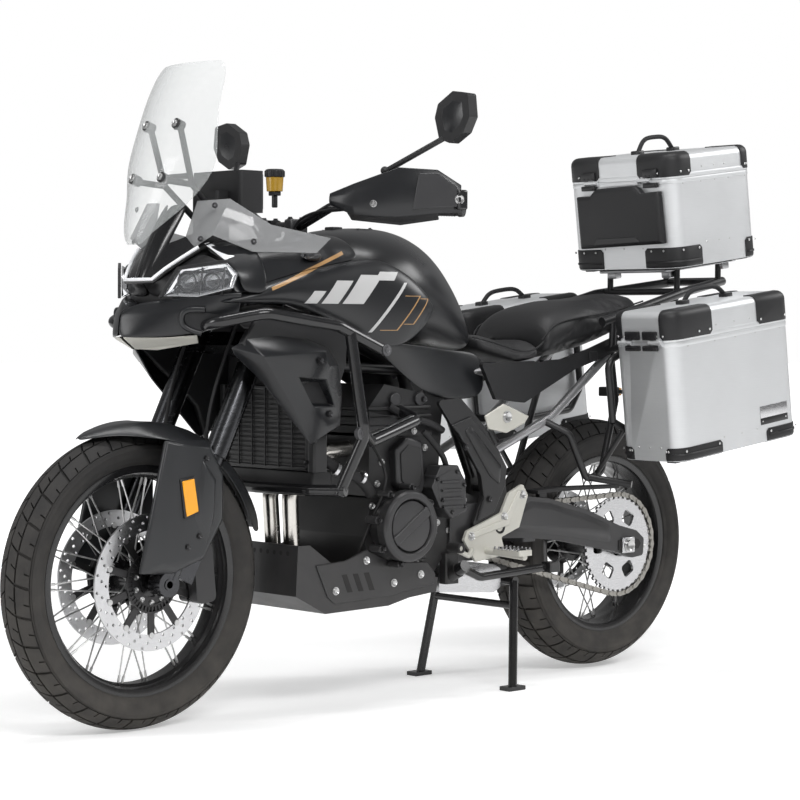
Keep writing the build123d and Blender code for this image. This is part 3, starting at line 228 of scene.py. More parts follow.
def dust_group():
    """A thin veil of road dust, thicker low down, laid over a colour and its roughness."""
    tree, given, result = new_group(
        "road dust",
        [("Colour", COLOUR, (0.05, 0.05, 0.05, 1)), ("Roughness", FLOAT, 0.4), ("Amount", FLOAT, 0.1),
         ("Top", FLOAT, 0.7)],
        [("Colour", COLOUR), ("Roughness", FLOAT)],
    )
    where = object_place(tree)
    height = put(tree, "ShaderNodeSeparateXYZ", None, Vector=where).outputs[2]
    patch = put(tree, "ShaderNodeTexNoise", None, Vector=where, Scale=22.0, Detail=6.0).outputs[0]
    low = put(tree, "ShaderNodeMapRange", None, i0=height, i1=given.outputs["Top"], i2=0.0).outputs[0]
    share = math_node(tree, "MULTIPLY", math_node(tree, "MULTIPLY", low, patch), given.outputs["Amount"], True)
    tint = mix_colour(tree, share, given.outputs["Colour"], (0.30, 0.27, 0.23, 1))
    rough = put(tree, "ShaderNodeMix", {"data_type": "FLOAT"}, i0=share, i2=given.outputs["Roughness"], i3=0.85)
    tree.links.new(tint, result.inputs["Colour"])
    tree.links.new(rough.outputs[0], result.inputs["Roughness"])
    return tree


GRAIN, BRUSH, DUST = grain_group(), brush_group(), dust_group()


def use(tree, group, **inputs):
    return put(tree, "ShaderNodeGroup", {"node_tree": group}, **inputs)


def new_material(name, **constants):
    """A material with a Principled shader; constants are set on the shader's own sockets."""
    material = bpy.data.materials.new(name)
    material.use_nodes = True
    tree = material.node_tree
    shader = tree.nodes["Principled BSDF"]
    for key, value in constants.items():
        shader.inputs[key.replace("_", " ")].default_value = value
    return material, tree, shader


def dress(tree, shader, colour, roughness, height=None, strength=0.2, depth=0.0004, dust=0.0, top=0.7):
    """Joins a colour, a roughness and a height to the shader, with a little dust over them."""
    if dust:
        veil = use(tree, DUST, Colour=colour, Roughness=roughness, Amount=dust, Top=top)
        colour, roughness = veil.outputs["Colour"], veil.outputs["Roughness"]
    tree.links.new(colour, shader.inputs["Base Color"])
    tree.links.new(roughness, shader.inputs["Roughness"])
    if height is not None:
        bump = put(tree, "ShaderNodeBump", None, Strength=strength, Distance=depth, Height=height)
        tree.links.new(bump.outputs[0], shader.inputs["Normal"])


def grained(
    name, colour, roughness=0.5, scale=900.0, strength=0.25, spread=0.2, dust=0.1, cloud=14.0, top=0.7, **constants
):
    """Moulded plastic, cast metal, rubber or paint with a fine grain."""
    material, tree, shader = new_material(name, **constants)
    look = use(
        tree, GRAIN, Grain_Scale=scale, Cloud_Scale=cloud, Colour=(*colour, 1), Colour_Spread=spread,
        Roughness=roughness, Roughness_Spread=0.15,
    )
    dress(
        tree, shader, look.outputs["Colour"], look.outputs["Roughness"], look.outputs["Height"], strength,
        dust=dust, top=top,
    )
    return material


def brushed(
    name, colour, roughness=0.35, across=(40.0, 40.0, 1400.0), spread=0.25, strength=0.12, dust=0.05, **constants
):
    """Bare metal with streaks across the given direction."""
    constants.setdefault("Metallic", 1.0)
    material, tree, shader = new_material(name, **constants)
    look = use(
        tree, BRUSH, Across=across, Colour=(*colour, 1), Colour_Spread=spread, Roughness=roughness,
        Roughness_Spread=0.2,
    )
    dress(
        tree, shader, look.outputs["Colour"], look.outputs["Roughness"], look.outputs["Height"], strength,
        depth=0.0002, dust=dust,
    )
    return material


# ---------------------------------------------------------------- finishes
RUBBER = grained(
    "tyre rubber", (0.017, 0.017, 0.018), 0.74, 700, 0.3, 0.35, dust=0.3, top=0.8, Specular_IOR_Level=0.3
)
SOFT_RUBBER = grained("soft black rubber", (0.012, 0.012, 0.013), 0.6, 1400, 0.35, 0.2, Specular_IOR_Level=0.3)
SATIN_PAINT = grained(
    "satin black paint", (0.0095, 0.010, 0.0115), 0.30, 2600, 0.04, 0.12, dust=0.03, cloud=6.0,
    Specular_IOR_Level=0.42,
)
GREY_PAINT = grained(
    "satin graphite paint", (0.020, 0.021, 0.023), 0.33, 2600, 0.05, 0.12, dust=0.03, cloud=6.0,
    Specular_IOR_Level=0.45,
)
BLACK_PLASTIC = grained(
    "moulded black plastic", (0.012, 0.012, 0.013), 0.48, 1100, 0.28, 0.2, dust=0.05, Specular_IOR_Level=0.35
)
FINE_PLASTIC = grained("fine black plastic", (0.014, 0.014, 0.015), 0.36, 2000, 0.12, 0.15, Specular_IOR_Level=0.4)
POWDER_GLOSS = grained(
    "gloss black powder coat", (0.009, 0.009, 0.010), 0.20, 420, 0.06, 0.15, dust=0.04, Specular_IOR_Level=0.5
)
POWDER_SATIN = grained(
    "satin black powder coat", (0.014, 0.014, 0.015), 0.36, 800, 0.12, 0.2, dust=0.06, Specular_IOR_Level=0.4
)
GREY_SATIN = grained(
    "dark grey powder coat", (0.030, 0.030, 0.032), 0.36, 900, 0.12, 0.2, dust=0.08, Specular_IOR_Level=0.4
)
DARK_CAST = grained("dark cast alloy", (0.016, 0.016, 0.017), 0.46, 1300, 0.35, 0.3, dust=0.08, Metallic=0.2)
COVER_METAL = grained("graphite cover metal", (0.034, 0.034, 0.036), 0.38, 1300, 0.2, 0.2, dust=0.08, Metallic=0.3)
SKID_METAL = grained("skid plate coat", (0.022, 0.022, 0.024), 0.40, 900, 0.18, 0.2, dust=0.12, Metallic=0.1)
CALIPER_METAL = grained("caliper coat", (0.028, 0.028, 0.030), 0.34, 1200, 0.15, 0.2, dust=0.08, Metallic=0.3)
FORK_METAL = brushed("fork outer tube", (0.060, 0.061, 0.065), 0.24, (40.0, 40.0, 160.0), 0.1, 0.03)
GREY_CAST = grained("grey cast alloy", (0.11, 0.11, 0.115), 0.42, 1200, 0.3, 0.25, dust=0.1, Metallic=0.7)
PALE_ALLOY = grained("pale blasted alloy", (0.56, 0.55, 0.50), 0.48, 1500, 0.2, 0.12, dust=0.08, Metallic=0.25)
SILVER_PAINT = grained("silver paint", (0.40, 0.40, 0.41), 0.34, 3000, 0.08, 0.1, dust=0.08, Metallic=0.75)
CASE_METAL = brushed("brushed case sheet", (0.62, 0.63, 0.64), 0.40, (22.0, 22.0, 1500.0), 0.16, 0.1, Metallic=0.55)
STEEL = brushed("drawn steel", (0.50, 0.50, 0.51), 0.28, (60.0, 60.0, 900.0), 0.2, 0.1)
PIPE_STEEL = brushed("polished pipe steel", (0.56, 0.54, 0.51), 0.22, (120.0, 30.0, 120.0), 0.3, 0.05, dust=0.12)
CHAIN_STEEL = grained("oiled chain steel", (0.30, 0.29, 0.27), 0.35, 500, 0.2, 0.5, dust=0.2, Metallic=0.9)
BOLT_STEEL = grained("zinc bolt", (0.50, 0.50, 0.50), 0.3, 900, 0.1, 0.3, Metallic=1.0)
BLACK_BOLT = grained("blackened bolt", (0.04, 0.04, 0.042), 0.35, 900, 0.1, 0.3, Metallic=0.8)
LEVER_METAL = grained("black anodised lever", (0.02, 0.02, 0.022), 0.32, 1500, 0.1, 0.2, Metallic=0.4)
AMBER = grained("amber reflector", (0.90, 0.38, 0.01), 0.2, 260, 0.8, 0.2, Specular_IOR_Level=0.6)
WHITE_LIGHT = grained("white light strip", (0.92, 0.93, 0.95), 0.3, 400, 0.1, 0.1)
FLUID = grained("amber fluid cup", (0.46, 0.27, 0.03), 0.22, 400, 0.1, 0.2, Specular_IOR_Level=0.6)
CHROME = brushed("lamp reflector", (0.72, 0.73, 0.75), 0.16, (200.0, 200.0, 40.0), 0.05, 0.02)
RED_LENS = grained("red lens", (0.42, 0.010, 0.008), 0.2, 260, 0.6, 0.2, Specular_IOR_Level=0.6)
DARK_GLASS = grained("dark display glass", (0.008, 0.009, 0.011), 0.08, 300, 0.02, 0.1, Specular_IOR_Level=0.6)


def disc_finish():
    """Ground steel ring on a black carrier, told apart by the distance from the axle."""
    material, tree, shader = new_material("brake disc", Metallic=1.0)
    where = object_place(tree)
    part = put(tree, "ShaderNodeSeparateXYZ", None, Vector=where)
    ahead = math_node(tree, "GREATER_THAN", part.outputs[0], 0.0)
    centre_x = span(tree, ahead, 0, 1, REAR_AXLE.x, FRONT_AXLE.x)
    centre_z = span(tree, ahead, 0, 1, REAR_AXLE.z, FRONT_AXLE.z)
    dx = math_node(tree, "SUBTRACT", part.outputs[0], centre_x)
    dz = math_node(tree, "SUBTRACT", part.outputs[2], centre_z)
    squared = math_node(tree, "ADD", math_node(tree, "MULTIPLY", dx, dx), math_node(tree, "MULTIPLY", dz, dz))
    radius = math_node(tree, "SQRT", squared)
    rings = put(tree, "ShaderNodeTexNoise", {"noise_dimensions": "1D"}, W=radius, Scale=2200.0, Detail=2.0).outputs[0]
    carrier = span(tree, radius, 0.104, 0.106, 1.0, 0.0)
    face = mix_colour(tree, rings, (0.42, 0.42, 0.43, 1), (0.72, 0.72, 0.73, 1))
    tree.links.new(mix_colour(tree, carrier, face, (0.03, 0.03, 0.032, 1)), shader.inputs["Base Color"])
    tree.links.new(span(tree, rings, 0, 1, 0.22, 0.42), shader.inputs["Roughness"])
    bump = put(tree, "ShaderNodeBump", None, Strength=0.12, Distance=0.0002, Height=rings)
    tree.links.new(bump.outputs[0], shader.inputs["Normal"])
    return material


def clear_sheet(name, tint, alpha, roughness=0.04):
    """Clear or smoke moulded sheet: see-through, and more of a mirror at a flat angle."""
    material, tree, shader = new_material(name, Metallic=0.0, IOR=1.49, Base_Color=(*tint, 1))
    edge = put(tree, "ShaderNodeLayerWeight", None, Blend=0.35).outputs["Facing"]
    where = object_place(tree)
    haze = put(tree, "ShaderNodeTexNoise", None, Vector=where, Scale=60.0, Detail=5.0).outputs[0]
    cover = math_node(
        tree, "ADD", span(tree, edge, 0.2, 1.0, alpha, min(1.0, alpha + 0.5)), span(tree, haze, 0, 1, -0.02, 0.02), True
    )
    tree.links.new(cover, shader.inputs["Alpha"])
    tree.links.new(span(tree, haze, 0, 1, roughness, roughness + 0.05), shader.inputs["Roughness"])
    return material


DISC = disc_finish()
CLEAR = clear_sheet("clear screen sheet", (0.60, 0.62, 0.62), 0.22)
SMOKE = clear_sheet("smoke sheet", (0.34, 0.345, 0.35), 0.6)
LAMP_GLASS = clear_sheet("lamp glass", (0.7, 0.72, 0.75), 0.06)

FINISH = {
    RUBBER: "front_tyre rear_tyre",
    POWDER_GLOSS: "front_wheel rear_wheel crash_bars rack centre_stand side_stand handlebar",
    DISC: "front_discs rear_disc",
    STEEL: "sprocket muffler",
    PIPE_STEEL: "exhaust_headers",
    CHAIN_STEEL: "chain",
    FORK_METAL: "fork",
    POWDER_SATIN: "frame pannier_frames swingarm shock radiator passenger_hangers mirrors",
    GREY_CAST: "subframe front_calipers rear_caliper",
    DARK_CAST: "engine engine_covers",
    PALE_ALLOY: "foot_controls",
    SATIN_PAINT: "fuel_tank side_fairings nose_fairing",
    GREY_PAINT: "front_fender",
    BLACK_PLASTIC: "tail_panels dash rear_mudguard chain_guard skid_plate handguards",
    FINE_PLASTIC: "hand_controls",
    SOFT_RUBBER: "rider_seat pillion_seat",
    CLEAR: "windshield",
    SMOKE: "wind_deflectors",
    LAMP_GLASS: "headlamps signal_lamps",
    CASE_METAL: (
        "pannier_left_box pannier_left_lid pannier_right_box pannier_right_lid top_case_box top_case_lid"
    ),
}
for finish_material, names in FINISH.items():
    for name in names.split():
        node = NODES[name]
        node.data.materials.clear()
        node.data.materials.append(finish_material)

# ---------------------------------------------------------------- modelling helpers; points are in millimetres
MM = 0.001
WELD = 1e-6                     # metres between points that become one
SIDES = ((1, "left"), (-1, "right"))
SLOT_OF = {
    RUBBER: "tyre", SOFT_RUBBER: "black_plastic", SATIN_PAINT: "bodywork", GREY_PAINT: "bodywork",
    BLACK_PLASTIC: "black_plastic", FINE_PLASTIC: "black_plastic", POWDER_GLOSS: "black_metal",
    POWDER_SATIN: "dark_metal", DARK_CAST: "engine_metal", GREY_CAST: "engine_metal", PALE_ALLOY: "light_metal",
    SILVER_PAINT: "light_metal", CASE_METAL: "case", STEEL: "steel", PIPE_STEEL: "steel", CHAIN_STEEL: "chain_steel",
    BOLT_STEEL: "steel", BLACK_BOLT: "black_metal", LEVER_METAL: "black_metal", CLEAR: "screen", SMOKE: "smoke",
    LAMP_GLASS: "lamp", GREY_SATIN: "dark_metal", COVER_METAL: "engine_metal", SKID_METAL: "dark_metal",
    CALIPER_METAL: "caliper", FORK_METAL: "dark_metal", AMBER: "amber", WHITE_LIGHT: "lamp", FLUID: "amber",
    CHROME: "lamp", RED_LENS: "amber", DARK_GLASS: "smoke",
}


def point(x, y, z):
    return Vector((x, y, z)) * MM


def turn_to(direction, spin=0.0):
    """A rotation that lays local +Z along the direction."""
    return Vector(direction).to_track_quat("Z", "Y").to_matrix().to_4x4() @ Matrix.Rotation(spin, 4, "Z")


def verts_of(made):
    """The vertices among what an operator returns."""
    return [v for v in made["geom"] if isinstance(v, bmesh.types.BMVert)]


def keep_side(mesh, spot, normal):
    """Cuts everything away that lies behind the plane."""
    bmesh.ops.bisect_plane(
        mesh, geom=mesh.verts[:] + mesh.edges[:] + mesh.faces[:], plane_co=spot, plane_no=normal, clear_inner=True
    )


def merge(mesh, other, place):
    """Moves the other mesh into this one and frees it."""
    bmesh.ops.transform(other, matrix=place, verts=other.verts)
    holder = bpy.data.meshes.new("part")
    other.to_mesh(holder)
    other.free()
    mesh.from_mesh(holder)
    bpy.data.meshes.remove(holder)


def add_ring(mesh, ring):
    verts = [mesh.verts.new(point(*p)) for p in ring]
    edges = [mesh.edges.new((verts[i - 1], verts[i])) for i in range(len(verts))]
    return verts, edges


def loft(mesh, rings, capped=True):
    """Closed rings of points joined one to the next."""
    made = [add_ring(mesh, ring) for ring in rings]
    for first, second in zip(made, made[1:]):
        bmesh.ops.bridge_loops(mesh, edges=first[1] + second[1])
    if capped:
        mesh.faces.new(made[0][0])
        mesh.faces.new(made[-1][0])


def slab(mesh, outline, push):
    """A flat outline of points pushed out by a vector in millimetres."""
    face = mesh.faces.new([mesh.verts.new(point(*p)) for p in outline])
    moved = verts_of(bmesh.ops.extrude_face_region(mesh, geom=[face]))
    bmesh.ops.translate(mesh, verts=moved, vec=Vector(push) * MM)


def at_side(outline, y):
    """An X, Z outline at one distance from the middle plane."""
    return [(x, y, z) for x, z in outline]


def to_side(points, side):
    """Points given for the left side, or mirrored to the right for side -1."""
    return [(x, side * y, z) for x, y, z in points]


def plate_piece(outline, y_low, y_high, side=1):
    """A plate cut to an X, Z outline, between two heights over the middle plane, on one side."""
    mesh = bmesh.new()
    slab(mesh, at_side(outline, side * y_low), (0, side * (y_high - y_low), 0))
    return mesh


def lathe(mesh, profile, centre, axis, steps=96, closed=False):
    """A profile of (along, radius) turned about an axis through the centre."""
    turn = turn_to(axis)
    spot = point(*centre)
    verts = [mesh.verts.new(spot + turn @ (Vector((radius, 0, along)) * MM)) for along, radius in profile]
    pairs = list(zip(verts, verts[1:])) + ([(verts[-1], verts[0])] if closed else [])
    edges = [mesh.edges.new(pair) for pair in pairs]
    bmesh.ops.spin(
        mesh, geom=verts + edges, cent=spot, axis=turn @ Vector((0, 0, 1)), dvec=(0, 0, 0), angle=2 * pi,
        steps=steps, use_merge=True, use_normal_flip=False, use_duplicate=False,
    )
    bmesh.ops.remove_doubles(mesh, verts=mesh.verts, dist=WELD)


def add_drum(mesh, at, axis, radius, length, sides=24, top=None, spin=0.0):
    """A drum or cone standing on a point; the second radius is its far end's."""
    place = Matrix.Translation(point(*at)) @ turn_to(axis, spin) @ Matrix.Translation((0, 0, length * MM / 2))
    return bmesh.ops.create_cone(
        mesh, cap_ends=True, cap_tris=False, segments=sides, radius1=radius * MM,
        radius2=(radius if top is None else top) * MM, depth=length * MM, matrix=place,
    )["verts"]


def add_bolt(mesh, at, axis, radius=6.0, length=5.0):
    """A socket bolt: a flange, a round head and the hex pit in it."""
    add_drum(mesh, at, axis, radius * 1.35, length * 0.35, 20)
    verts = add_drum(mesh, at, axis, radius, length, 20)
    way = Vector(axis).normalized()
    faces = {f for v in verts for f in v.link_faces}
    cap = max(faces, key=lambda f: f.calc_center_median().dot(way))
    bmesh.ops.inset_individual(mesh, faces=[cap], thickness=radius * 0.45 * MM, depth=0)
    bmesh.ops.translate(mesh, verts=list(cap.verts), vec=-way * length * 0.55 * MM)


def add_block(mesh, low, high, turn=None, about=(0, 0, 0)):
    """A box between two opposite corners, turned about a point when asked."""
    low, high = Vector(tuple(map(min, low, high))), Vector(tuple(map(max, low, high)))
    size = high - low
    place = Matrix.Translation((low + high) / 2 * MM) @ Matrix.Diagonal((*(size * MM), 1))
    if turn is not None:
        spot = Matrix.Translation(point(*about))
        place = spot @ turn @ spot.inverted() @ place
    return bmesh.ops.create_cube(mesh, size=1, matrix=place)["verts"]


def add_ball(mesh, at, radius, squash=(1, 1, 1), rings=10):
    place = Matrix.Translation(point(*at)) @ Matrix.Diagonal((*squash, 1))
    return bmesh.ops.create_uvsphere(
        mesh, u_segments=rings * 2, v_segments=rings, radius=radius * MM, matrix=place
    )["verts"]


def mirrored(mesh):
    """Adds the other side's copy of everything in the mesh."""
    made = bmesh.ops.duplicate(mesh, geom=mesh.verts[:] + mesh.edges[:] + mesh.faces[:])["geom"]
    verts = [v for v in made if isinstance(v, bmesh.types.BMVert)]
    bmesh.ops.scale(mesh, vec=(1, -1, 1), verts=verts)
    bmesh.ops.reverse_faces(mesh, faces=[f for f in made if isinstance(f, bmesh.types.BMFace)])


def make(
    name, mesh, material, body="chassis", stands_for=(), bevel=0.0, levels=0, sharp=35, wall=0.0, outward=True,
    segments=2,
):
    """Turns a mesh into a finished piece that rides on a body."""
    if outward:
        bmesh.ops.recalc_face_normals(mesh, faces=mesh.faces)
    data = bpy.data.meshes.new(name)
    mesh.to_mesh(data)
    mesh.free()
    data.shade_smooth()
    if not levels:
        data.set_sharp_from_angle(angle=radians(sharp))
    elif "crease_edge" in data.attributes:
        marks = data.attributes.new("sharp_edge", "BOOLEAN", "EDGE")
        for mark, line in zip(marks.data, data.attributes["crease_edge"].data):
            mark.value = line.value > 0.99
    made = add_object(name, data)
    data.materials.append(material)
    if wall:
        shell = made.modifiers.new("wall", "SOLIDIFY")
        shell.thickness, shell.offset = wall * MM, -1
    if bevel:
        edge = made.modifiers.new("edges", "BEVEL")
        edge.width, edge.segments, edge.limit_method, edge.angle_limit = bevel * MM, segments, "ANGLE", radians(28)
        edge.use_clamp_overlap = True
    if levels:
        smooth = made.modifiers.new("smooth", "SUBSURF")
        smooth.levels = smooth.render_levels = levels
    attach(made, body)
    if stands_for:
        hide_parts(*([stands_for] if isinstance(stands_for, str) else stands_for))
    return made


def crease(mesh, pick, amount=0.8):
    """Creases the edges that the test picks, so that smoothing keeps them."""
    layer = mesh.edges.layers.float.get("crease_edge") or mesh.edges.layers.float.new("crease_edge")
    for edge in mesh.edges:
        if pick(edge):
            edge[layer] = amount


def tube(name, points, radius, material, body="chassis", stands_for=(), smooth=True, sides=6):
    """A bar or hose along a smooth line through its control points, with closed ends."""
    curve = bpy.data.curves.new(name, "CURVE")
    curve.dimensions = "3D"
    spline = curve.splines.new("NURBS" if smooth else "POLY")
    spline.points.add(len(points) - 1)
    for spot, p in zip(spline.points, points):
        spot.co = (*point(*p), 1)
    if smooth:
        spline.order_u = min(3, len(points))
        spline.use_endpoint_u = True
        spline.resolution_u = 8
    curve.bevel_depth = radius * MM
    curve.bevel_resolution = sides
    curve.use_fill_caps = True
    drawn = add_object(name + " line", curve)
    mesh = bmesh.new()
    mesh.from_mesh(bpy.data.meshes.new_from_object(drawn))
    bpy.data.objects.remove(drawn)
    bmesh.ops.remove_doubles(mesh, verts=mesh.verts, dist=WELD)
    return make(name, mesh, material, body, stands_for, sharp=50)


def steering_spot(ahead, up, side=0.0):
    """A point in millimetres in the steered parts' own axes, from the front axle."""
    spot = FRONT_AXLE * 1000 + STEER_AHEAD * ahead + STEER_UP * up
    return (spot.x, side, spot.z)


def patch(rows, facing):
    """A grid bent to rows of points, its faces turned towards a direction."""
    mesh = bmesh.new()
    across, along = len(rows) - 1, len(rows[0]) - 1
    bmesh.ops.create_grid(mesh, x_segments=along, y_segments=across, size=1)
    for vert in mesh.verts:
        column = round((vert.co.x + 1) / 2 * along)
        row = round((vert.co.y + 1) / 2 * across)
        vert.co = point(*rows[row][column])
    mesh.normal_update()
    middle = sum((face.normal * face.calc_area() for face in mesh.faces), Vector())
    if middle.dot(Vector(facing)) < 0:
        bmesh.ops.reverse_faces(mesh, faces=mesh.faces)
    return mesh


def bolts(name, spots, axis, radius=5.0, length=4.0, material=None, body="chassis", both=False):
    """One piece with a bolt at every spot."""
    mesh = bmesh.new()
    for spot in spots:
        add_bolt(mesh, spot, axis, radius, length)
    if both:
        mirrored(mesh)
    return make(name, mesh, material or BLACK_BOLT, body, sharp=40)

# ---------------------------------------------------------------- tyres and wheels


def add_tread(mesh, axle, radius, half, edge_radius, pitches, depth):
    """Blocks of rubber round the crown: two centre rows and an outer row each side, with cut grooves."""
    crown = (half * half + (radius - edge_radius) ** 2) / (2 * (radius - edge_radius))
    middle = radius - crown
    reach = crown * atan2(half, crown - (radius - edge_radius))
    pitch = 2 * pi / pitches
    rows = (                       # share of the half width from and to, share of the pitch from and to
        (0.035, 0.22, 0.04, 0.96), (0.22, 0.43, 0.04, 0.50), (0.22, 0.43, 0.555, 0.96),
        (0.50, 0.80, 0.05, 0.95), (0.80, 1.0, 0.05, 0.52), (0.80, 1.0, 0.575, 0.95),
    )
    start = set(mesh.verts)
    for side in (1, -1):
        for v_low, v_high, u_low, u_high in rows:
            made = bmesh.ops.create_grid(mesh, x_segments=4, y_segments=3, size=0.5)["verts"]
            faces = {f for v in made for f in v.link_faces}
            raised = verts_of(bmesh.ops.extrude_face_region(mesh, geom=list(faces), use_keep_orig=True))
            for vert in made:
                vert.co.z = -(depth + 1.5)
            for vert in raised:
                vert.co.z = 0.0
            for vert in made + raised:
                along = u_low + (vert.co.x + 0.5) * (u_high - u_low)
                across = v_low + (vert.co.y + 0.5) * (v_high - v_low)
                lean = 0.62 * across if across < 0.43 else 0.27 + 0.30 * (across - 0.43)
                angle = (along + lean + (0.5 if side < 0 else 0.0)) * pitch
                tip = across * reach / crown
                out = middle + (crown + vert.co.z) * cos(tip)
                wide = (crown + vert.co.z) * sin(tip)
                vert.co = axle + Vector((out * sin(angle), side * wide, out * cos(angle))) * MM
    fresh = [v for v in mesh.verts if v not in start]
    edges = list({e for v in fresh for e in v.link_edges})
    faces = list({f for v in fresh for f in v.link_faces})
    bmesh.ops.spin(
        mesh, geom=fresh + edges + faces, cent=axle, axis=(0, 1, 0), dvec=(0, 0, 0),
        angle=2 * pi * (pitches - 1) / pitches,
        steps=pitches - 1, use_duplicate=True, use_merge=False, use_normal_flip=False,
    )


def build_tyre(name, axle, radius, half_width, tread_half, edge_drop, rim_radius, rim_half, pitches, depth, body):
    """A carcass with moulded rings on its walls, and its tread blocks."""
    base = radius - depth
    edge = radius - edge_drop
    wall = (rim_radius + radius) / 2
    half = [
        (0, base), (tread_half * 0.4, base - edge_drop * 0.14), (tread_half * 0.75, base - edge_drop * 0.52),
        (tread_half - 2.5, edge - depth + 2), (tread_half + 1.0, edge - 2), (half_width - 1.5, edge - 9),
        (half_width - 0.3, wall + 6),
        (half_width, wall - 2), (half_width - 1.2, wall - 4), (half_width - 2.0, wall - 14),
        (half_width - 5, rim_radius + 17), (half_width - 8, rim_radius + 13), (half_width - 8.6, rim_radius + 11),
        (rim_half + 2.5, rim_radius + 3), (rim_half - 3, rim_radius - 1), (rim_half - 6, rim_radius - 8),
    ]
    profile = half[::-1] + [(-y, r) for y, r in half[1:]]
    mesh = bmesh.new()
    lathe(mesh, profile, tuple(axle * 1000), (0, 1, 0), 120)
    add_tread(mesh, axle, radius, tread_half, edge, pitches, depth)
    make(name, mesh, RUBBER, body, name.replace("_detail", ""), sharp=32)


build_tyre("front_tyre_detail", FRONT_AXLE, 329.5, 55.5, 50, 27, 254, 38.5, 30, 5.5, "front_assembly")
build_tyre("rear_tyre_detail", REAR_AXLE, 321, 74.5, 68, 34, 229, 62, 28, 6.5, "rear_assembly")


def build_wheel(name, axle, rim_radius, rim_half, hub, flange_half, flange_radius, body):
    """A rolled rim with two raised lips, a turned hub, and crossed spokes with nipples in the rim."""
    deep = rim_radius - 28
    mesh = bmesh.new()
    rim = [
        (rim_half, rim_radius), (rim_half + 0.5, rim_radius - 5), (rim_half - 2, rim_radius - 16),
        (rim_half - 9, rim_radius - 20),
        (rim_half * 0.62, rim_radius - 21), (rim_half * 0.45, deep + 1), (rim_half * 0.2, deep), (0, deep + 0.6),
    ]
    outer = [(y, r) for y, r in rim] + [(-y, r) for y, r in rim[::-1][1:]]
    inner = [
        (-rim_half + 3.4, rim_radius), (-rim_half + 3.4, rim_radius - 15.4), (rim_half - 3.4, rim_radius - 15.4),
        (rim_half - 3.4, rim_radius),
    ]
    lathe(mesh, outer + inner, tuple(axle * 1000), (0, 1, 0), 120, closed=True)
    lathe(mesh, hub, tuple(axle * 1000), (0, 1, 0), 64, closed=True)
    make(name, mesh, POWDER_GLOSS, body, name.replace("_detail", ""), sharp=30)
    wires = bmesh.new()
    step = 2 * pi / 9
    for count in range(9):
        for side in (1, -1):
            for turn in (1, -1):
                at_hub = step * (count + 0.25 * side + 0.12 * turn)
                at_rim = at_hub + turn * radians(34)
                inset = flange_radius - 4
                foot = Vector((inset * sin(at_hub), side * flange_half, inset * cos(at_hub)))
                head = Vector(((deep + 1) * sin(at_rim), side * 9, (deep + 1) * cos(at_rim)))
                way = head - foot
                start = axle * 1000 + foot
                add_drum(wires, tuple(start), way, 1.9, way.length, 8)
                add_drum(wires, tuple(start + way * (1 - 17 / way.length)), way, 3.1, 15, 8)
                add_drum(wires, tuple(start - way.normalized() * 3), way, 3.4, 7, 8)
    make(name.replace("wheel", "spokes"), wires, BOLT_STEEL, body)


FRONT_HUB = [
    (-66.5, 13), (-66.5, 44), (-60, 44), (-58, 26), (-40, 24), (-38, 42), (-32, 42), (-29, 27), (0, 25), (29, 27),
    (32, 42), (38, 42), (40, 24), (58, 26), (60, 44), (66.5, 44), (66.5, 13),
]
REAR_HUB = [
    (-91.5, 13), (-91.5, 48), (-84, 48), (-82, 31), (-60, 30), (-58, 56), (-52, 56), (-48, 40), (0, 36), (48, 40),
    (52, 56), (58, 56), (60, 34), (88, 34), (90, 62), (101.5, 62), (101.5, 13),
]
build_wheel("front_wheel_detail", FRONT_AXLE, 254, 38.5, FRONT_HUB, 35, 42, "front_assembly")
build_wheel("rear_wheel_detail", REAR_AXLE, 229, 62, REAR_HUB, 55, 56, "rear_assembly")


def drilled_ring(mesh, centre, offset, outer, inner, thick, columns):
    """A ground ring whose slanted rows of holes are open right through it."""
    hole = 3.6
    band = (outer - inner) / 3.0
    radii = [inner + band * (k + 0.5) for k in range(3)]
    sketch = bmesh.new()
    rims = []
    for row, r in enumerate(radii):
        for column in range(columns):
            angle = 2 * pi * (column + row * 0.33) / columns
            rims.append((r * cos(angle), r * sin(angle)))
    bmesh.ops.create_circle(sketch, segments=128, radius=outer, cap_ends=False)
    bmesh.ops.create_circle(sketch, segments=96, radius=inner, cap_ends=False)
    for x, y in rims:
        bmesh.ops.create_circle(sketch, segments=10, radius=hole, matrix=Matrix.Translation((x, y, 0)))
    bmesh.ops.triangle_fill(sketch, edges=sketch.edges[:], use_beauty=True)
    drop = []
    for face in sketch.faces:
        mid = face.calc_center_median()
        if hypot(mid.x, mid.y) < inner - 0.5 or any(hypot(mid.x - x, mid.y - y) < hole * 0.8 for x, y in rims):
            drop.append(face)
    bmesh.ops.delete(sketch, geom=drop, context="FACES_ONLY")
    raised = verts_of(bmesh.ops.extrude_face_region(sketch, geom=sketch.faces[:], use_keep_orig=True))
    bmesh.ops.translate(sketch, verts=raised, vec=(0, 0, thick))
    place = Matrix.Translation(Vector((centre.x, (offset + thick / 2) * MM, centre.z)))
    merge(mesh, sketch, place @ Matrix.Rotation(pi / 2, 4, "X") @ Matrix.Scale(MM, 4))


SENSOR_TEETH = 40


